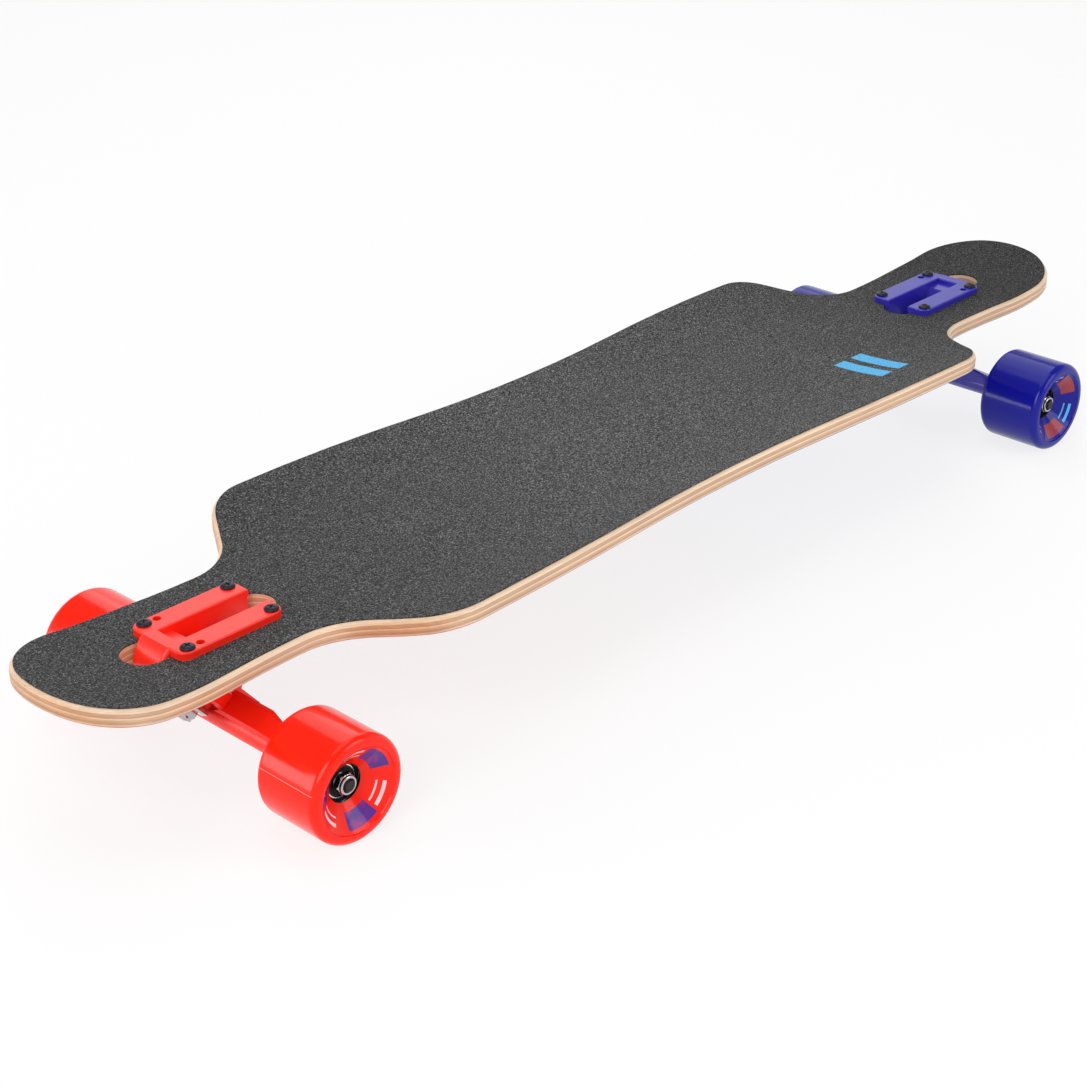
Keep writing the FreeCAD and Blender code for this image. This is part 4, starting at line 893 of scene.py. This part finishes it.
class LONGBOARD_OT_wheels(bpy.types.Operator):
    """Finish the cast wheels: glossy urethane, a moulding line with a painted highlight along it and print
    on the dished face
    """
    bl_idname = "longboard.wheels"
    bl_label = "Wheels"

    def urethane(self, name, centre, seam_and_highlight, colour, broad, thin):
        material, wiring, sockets = new_material(
            name, Coat_Weight=0.12, Coat_Roughness=0.04, Specular_IOR_Level=0.2)
        polar = wiring.group(polar_group(), centre=centre)
        radius, turn, reach = polar["Radius"], polar["Turn"], polar["Reach"]
        body = wiring.group(tone_group(), colour=rgba(colour), amount=0.05, scale=26.0)["Colour"]
        # Print on the dish: three broad blocks with two thin arcs between them
        soft, soft_turn = 0.0001, 0.006

        def ring(inner, outer):
            return wiring.between(radius, inner, outer, soft)

        lap = wiring.math("FLOORED_MODULO", turn, 2 * math.pi / 3)
        dish = wiring.math("MULTIPLY", wiring.step(reach, 0.1165, 0.1170), ring(0.0150, 0.0266))
        wear_and_shade = wiring.step(wiring.noise(wiring.place(), 160.0, 3.0), 0.25, 0.55, 0.72, 0.97)
        left = wiring.math("MULTIPLY", dish, wear_and_shade)
        block = wiring.math("MULTIPLY", wiring.between(lap, 0.22, 1.12, soft_turn), ring(0.0168, 0.0258))
        rings = wiring.math("ADD", ring(0.0192, 0.0201), ring(0.0226, 0.0244))
        arcs = wiring.math("MULTIPLY", wiring.between(lap, 1.22, 1.88, soft_turn), rings)
        inked = wiring.mix(wiring.math("MULTIPLY", block, left), body, rgba(broad))
        inked = wiring.mix(wiring.math("MULTIPLY", arcs, left), inked, rgba(thin))
        # A moulding line across the tread, raised as a bump, with a painted highlight along it
        line_half = 0.006
        line = wiring.between(turn, seam_and_highlight - line_half, seam_and_highlight + line_half, line_half / 2)
        line = wiring.math("MULTIPLY", line, wiring.step(radius, 0.0344, 0.0348))
        lined = wiring.mix(wiring.math("MULTIPLY", line, 0.3), inked, (1.0, 0.70, 0.66, 1.0))
        # Near black on the wall and seat of the bore, inside the radius of the recess
        bore_dark = wiring.step(radius, 0.01225, 0.01215)
        wiring.feed(sockets["Base Color"], wiring.mix(bore_dark, lined, (0.008, 0.007, 0.008, 1.0)))
        scratch = scuff(wiring, sockets, roughness=0.16, spread=0.08, scale=70.0)
        skin = wiring.group(peel_group(), scale=260.0)["Height"]
        height = wiring.math("MULTIPLY_ADD", skin, 0.25, wiring.math("MULTIPLY", scratch, 0.3))
        height = wiring.math("MULTIPLY_ADD", line, 3.0, height)
        wiring.feed(sockets["Normal"], wiring.bump(height, 3e-5))
        return material

    def execute(self, context):
        palette = colours()
        looks = {"front": (palette.front_urethane, palette.brick, palette.sky),
                 "rear": (palette.rear_urethane, palette.violet, palette.chalk)}
        # Turn of each wheel's moulding line and its painted highlight
        seam_and_highlight_turns = {"rear_right": 2.828, "rear_left": 0.9, "front_right": -0.7, "front_left": -1.9}
        for end, name, centre in wheel_spots():
            finish = self.urethane(name + "_urethane", centre, seam_and_highlight_turns[name], *looks[end])
            dress_nodes([name + "_wheel"], finish)
        return {"FINISHED"}


class LONGBOARD_OT_bearings(bpy.types.Operator):
    """Finish the bearings: outer rings painted near black as shade but for a bright edge, and dark shields
    with a pressed groove
    """
    bl_idname = "longboard.bearings"
    bl_label = "Bearings"

    def shield(self, name, centre):
        material, wiring, sockets = new_material(name, Specular_IOR_Level=0.2)
        tint(wiring, sockets, (0.010, 0.008, 0.009, 1.0), drift=0.15, scale=200.0)
        scuff(wiring, sockets, roughness=0.42, spread=0.12, scale=300.0)
        radius = wiring.group(polar_group(), centre=centre)["Radius"]
        groove = wiring.between(radius, 0.0076, 0.0082, 0.0002)
        wiring.feed(sockets["Normal"], wiring.bump(wiring.math("MULTIPLY", groove, -1.0), 3e-4))
        return material

    def race(self, name, centre):
        material, wiring, sockets = new_material(name, Metallic=1.0)
        wear(wiring, sockets, roughness=0.2, spread=0.08, scale=300.0)
        radius = wiring.group(polar_group(), centre=centre)["Radius"]
        # Painted shade: the ring's steel is near black except for a thin bright band near its edge
        edge = wiring.between(radius, 0.0101, 0.0106, 0.0001)
        shaded_steel = wiring.mix(edge, (0.02, 0.02, 0.022, 1.0), (0.85, 0.85, 0.87, 1.0))
        wiring.feed(sockets["Base Color"], shaded_steel)
        return material

    def execute(self, context):
        for _, name, centre in wheel_spots():
            dress_nodes([name + "_bearing_shields"], self.shield(name + "_shield", centre))
            dress_nodes([name + "_bearing_outer_rings"], self.race(name + "_race", centre))
        return {"FINISHED"}


class LONGBOARD_OT_stage(bpy.types.Operator):
    """Set the pale floor, the soft lamps and the camera"""
    bl_idname = "longboard.stage"
    bl_label = "Stage"

    def lamp(self, name, place, aim, size, power):
        data = bpy.data.lights.new(name, "AREA")
        data.shape = "DISK"
        data.size = size
        data.energy = power
        lamp = bpy.data.objects.new(name, data)
        lamp.location = place
        lamp.rotation_euler = (Vector(aim) - Vector(place)).to_track_quat("-Z", "Y").to_euler()
        bpy.context.scene.collection.objects.link(lamp)

    def seen(self, wiring):
        """1 for rays that see the background straight, in a gloss or through glass."""
        rays = wiring.put("LightPath").outputs
        seen = wiring.math("MAXIMUM", rays["Is Camera Ray"], rays["Is Glossy Ray"])
        return wiring.math("MAXIMUM", seen, rays["Is Transmission Ray"])

    def floor(self, size):
        """A matte floor that glows white to the eye, more so far away, and is clear from below."""
        made = bmesh.new()
        bmesh.ops.create_grid(made, x_segments=1, y_segments=1, size=size / 2)
        material = bpy.data.materials.new("pale_floor")
        material.use_nodes = True
        material.node_tree.nodes.clear()
        wiring = Wiring(material.node_tree)
        matte = wiring.put("BsdfDiffuse", {"Color": (0.88, 0.88, 0.88, 1.0)}).outputs[0]
        glow = wiring.put("Emission", {"Color": (1.0, 1.0, 1.0, 1.0), "Strength": 1.0}).outputs[0]
        x, y, _ = wiring.split(wiring.place())
        near, far, near_share = 1.2, 5.0, 0.8
        whiten = wiring.step(wiring.distance(x, y), near, far, near_share, 1.0)
        share = wiring.math("MULTIPLY", self.seen(wiring), whiten)
        blend = wiring.put("MixShader", {0: share, 1: matte, 2: glow}).outputs[0]
        clear = wiring.put("BsdfTransparent").outputs[0]
        below = wiring.put("NewGeometry").outputs["Backfacing"]
        blend = wiring.put("MixShader", {0: below, 1: blend, 2: clear}).outputs[0]
        wiring.put("OutputMaterial", {"Surface": blend})
        piece = add_piece("floor", finish_mesh(made, "floor"), [material])

    def execute(self, context):
        settings = stage()
        scene = context.scene
        scene.view_settings.view_transform = "Standard"
        world = bpy.data.worlds.new("white_room")
        world.use_nodes = True
        world.node_tree.nodes.clear()
        wiring = Wiring(world.node_tree)
        # A white cove: white up to a low height all round, and dimmer overhead
        cove_top, ceiling_edge = 0.20, 0.58
        height = wiring.split(wiring.put("TexCoord").outputs["Generated"])[2]
        level = wiring.step(height, cove_top, ceiling_edge, 1.0, settings.ceiling)
        room = wiring.put("Background", {"Color": wiring.grey(level), "Strength": 1.0}).outputs[0]
        wiring.put("OutputWorld", {"Surface": room})
        scene.world = world
        self.floor(settings.floor_size)
        # Where each lamp stands, where it points, and its width
        for name, place, aim, size in (
            ("key", (-1.9, -0.6, 1.5), (-0.1, 0.0, 0.05), 1.6),
            ("fill", (0.9, -1.9, 1.2), (0.1, 0.0, 0.05), 1.4),
            ("back", (1.05, 1.25, 1.5), (0.0, 0.0, 0.1), 1.8),
            ("low", (-1.9, 1.2, 0.45), (-0.3, 0.0, 0.05), 0.9),
            ("top", (0.0, 0.2, 2.4), (0.0, 0.0, 0.1), 2.0),
        ):
            self.lamp(name, place, aim, size, getattr(settings, name + "_power"))
        data = bpy.data.cameras.new("camera")
        data.lens = settings.lens
        data.sensor_width = 36.0
        data.clip_end = 100.0
        camera = bpy.data.objects.new("camera", data)
        camera.location = settings.camera_place
        camera.rotation_euler = settings.camera_turn
        scene.collection.objects.link(camera)
        scene.camera = camera
        return {"FINISHED"}


OPERATORS = (
    LONGBOARD_OT_deck, LONGBOARD_OT_grip, LONGBOARD_OT_trucks, LONGBOARD_OT_bushings, LONGBOARD_OT_mounting,
    LONGBOARD_OT_hardware, LONGBOARD_OT_wheels, LONGBOARD_OT_bearings, LONGBOARD_OT_stage,
)


class LONGBOARD_PT_panel(bpy.types.Panel):
    """Lists the longboard's pieces with their sizes and colours"""
    bl_idname = "LONGBOARD_PT_panel"
    bl_label = "Longboard"
    bl_space_type = "VIEW_3D"
    bl_region_type = "UI"
    bl_category = "Longboard"

    def draw(self, context):
        for settings in (colours(), sizes(), stage()):
            box = self.layout.box()
            for name in settings.__annotations__:
                box.prop(settings, name)
        for operator in OPERATORS:
            self.layout.operator(operator.bl_idname)


GROUPS = {
    "longboard_colours": LongboardColours,
    "longboard_sizes": LongboardSizes,
    "longboard_stage": LongboardStage,
}


def register():
    for kind in (*GROUPS.values(), *OPERATORS, LONGBOARD_PT_panel):
        bpy.utils.register_class(kind)
    for name, kind in GROUPS.items():
        setattr(bpy.types.Scene, name, PointerProperty(type=kind))


def unregister():
    for name in GROUPS:
        delattr(bpy.types.Scene, name)
    for kind in reversed((*GROUPS.values(), *OPERATORS, LONGBOARD_PT_panel)):
        bpy.utils.unregister_class(kind)


def main():
    register()
    for operator in OPERATORS:
        getattr(bpy.ops.longboard, operator.bl_idname.split(".")[1])()


if __name__ == "__main__":
    main()
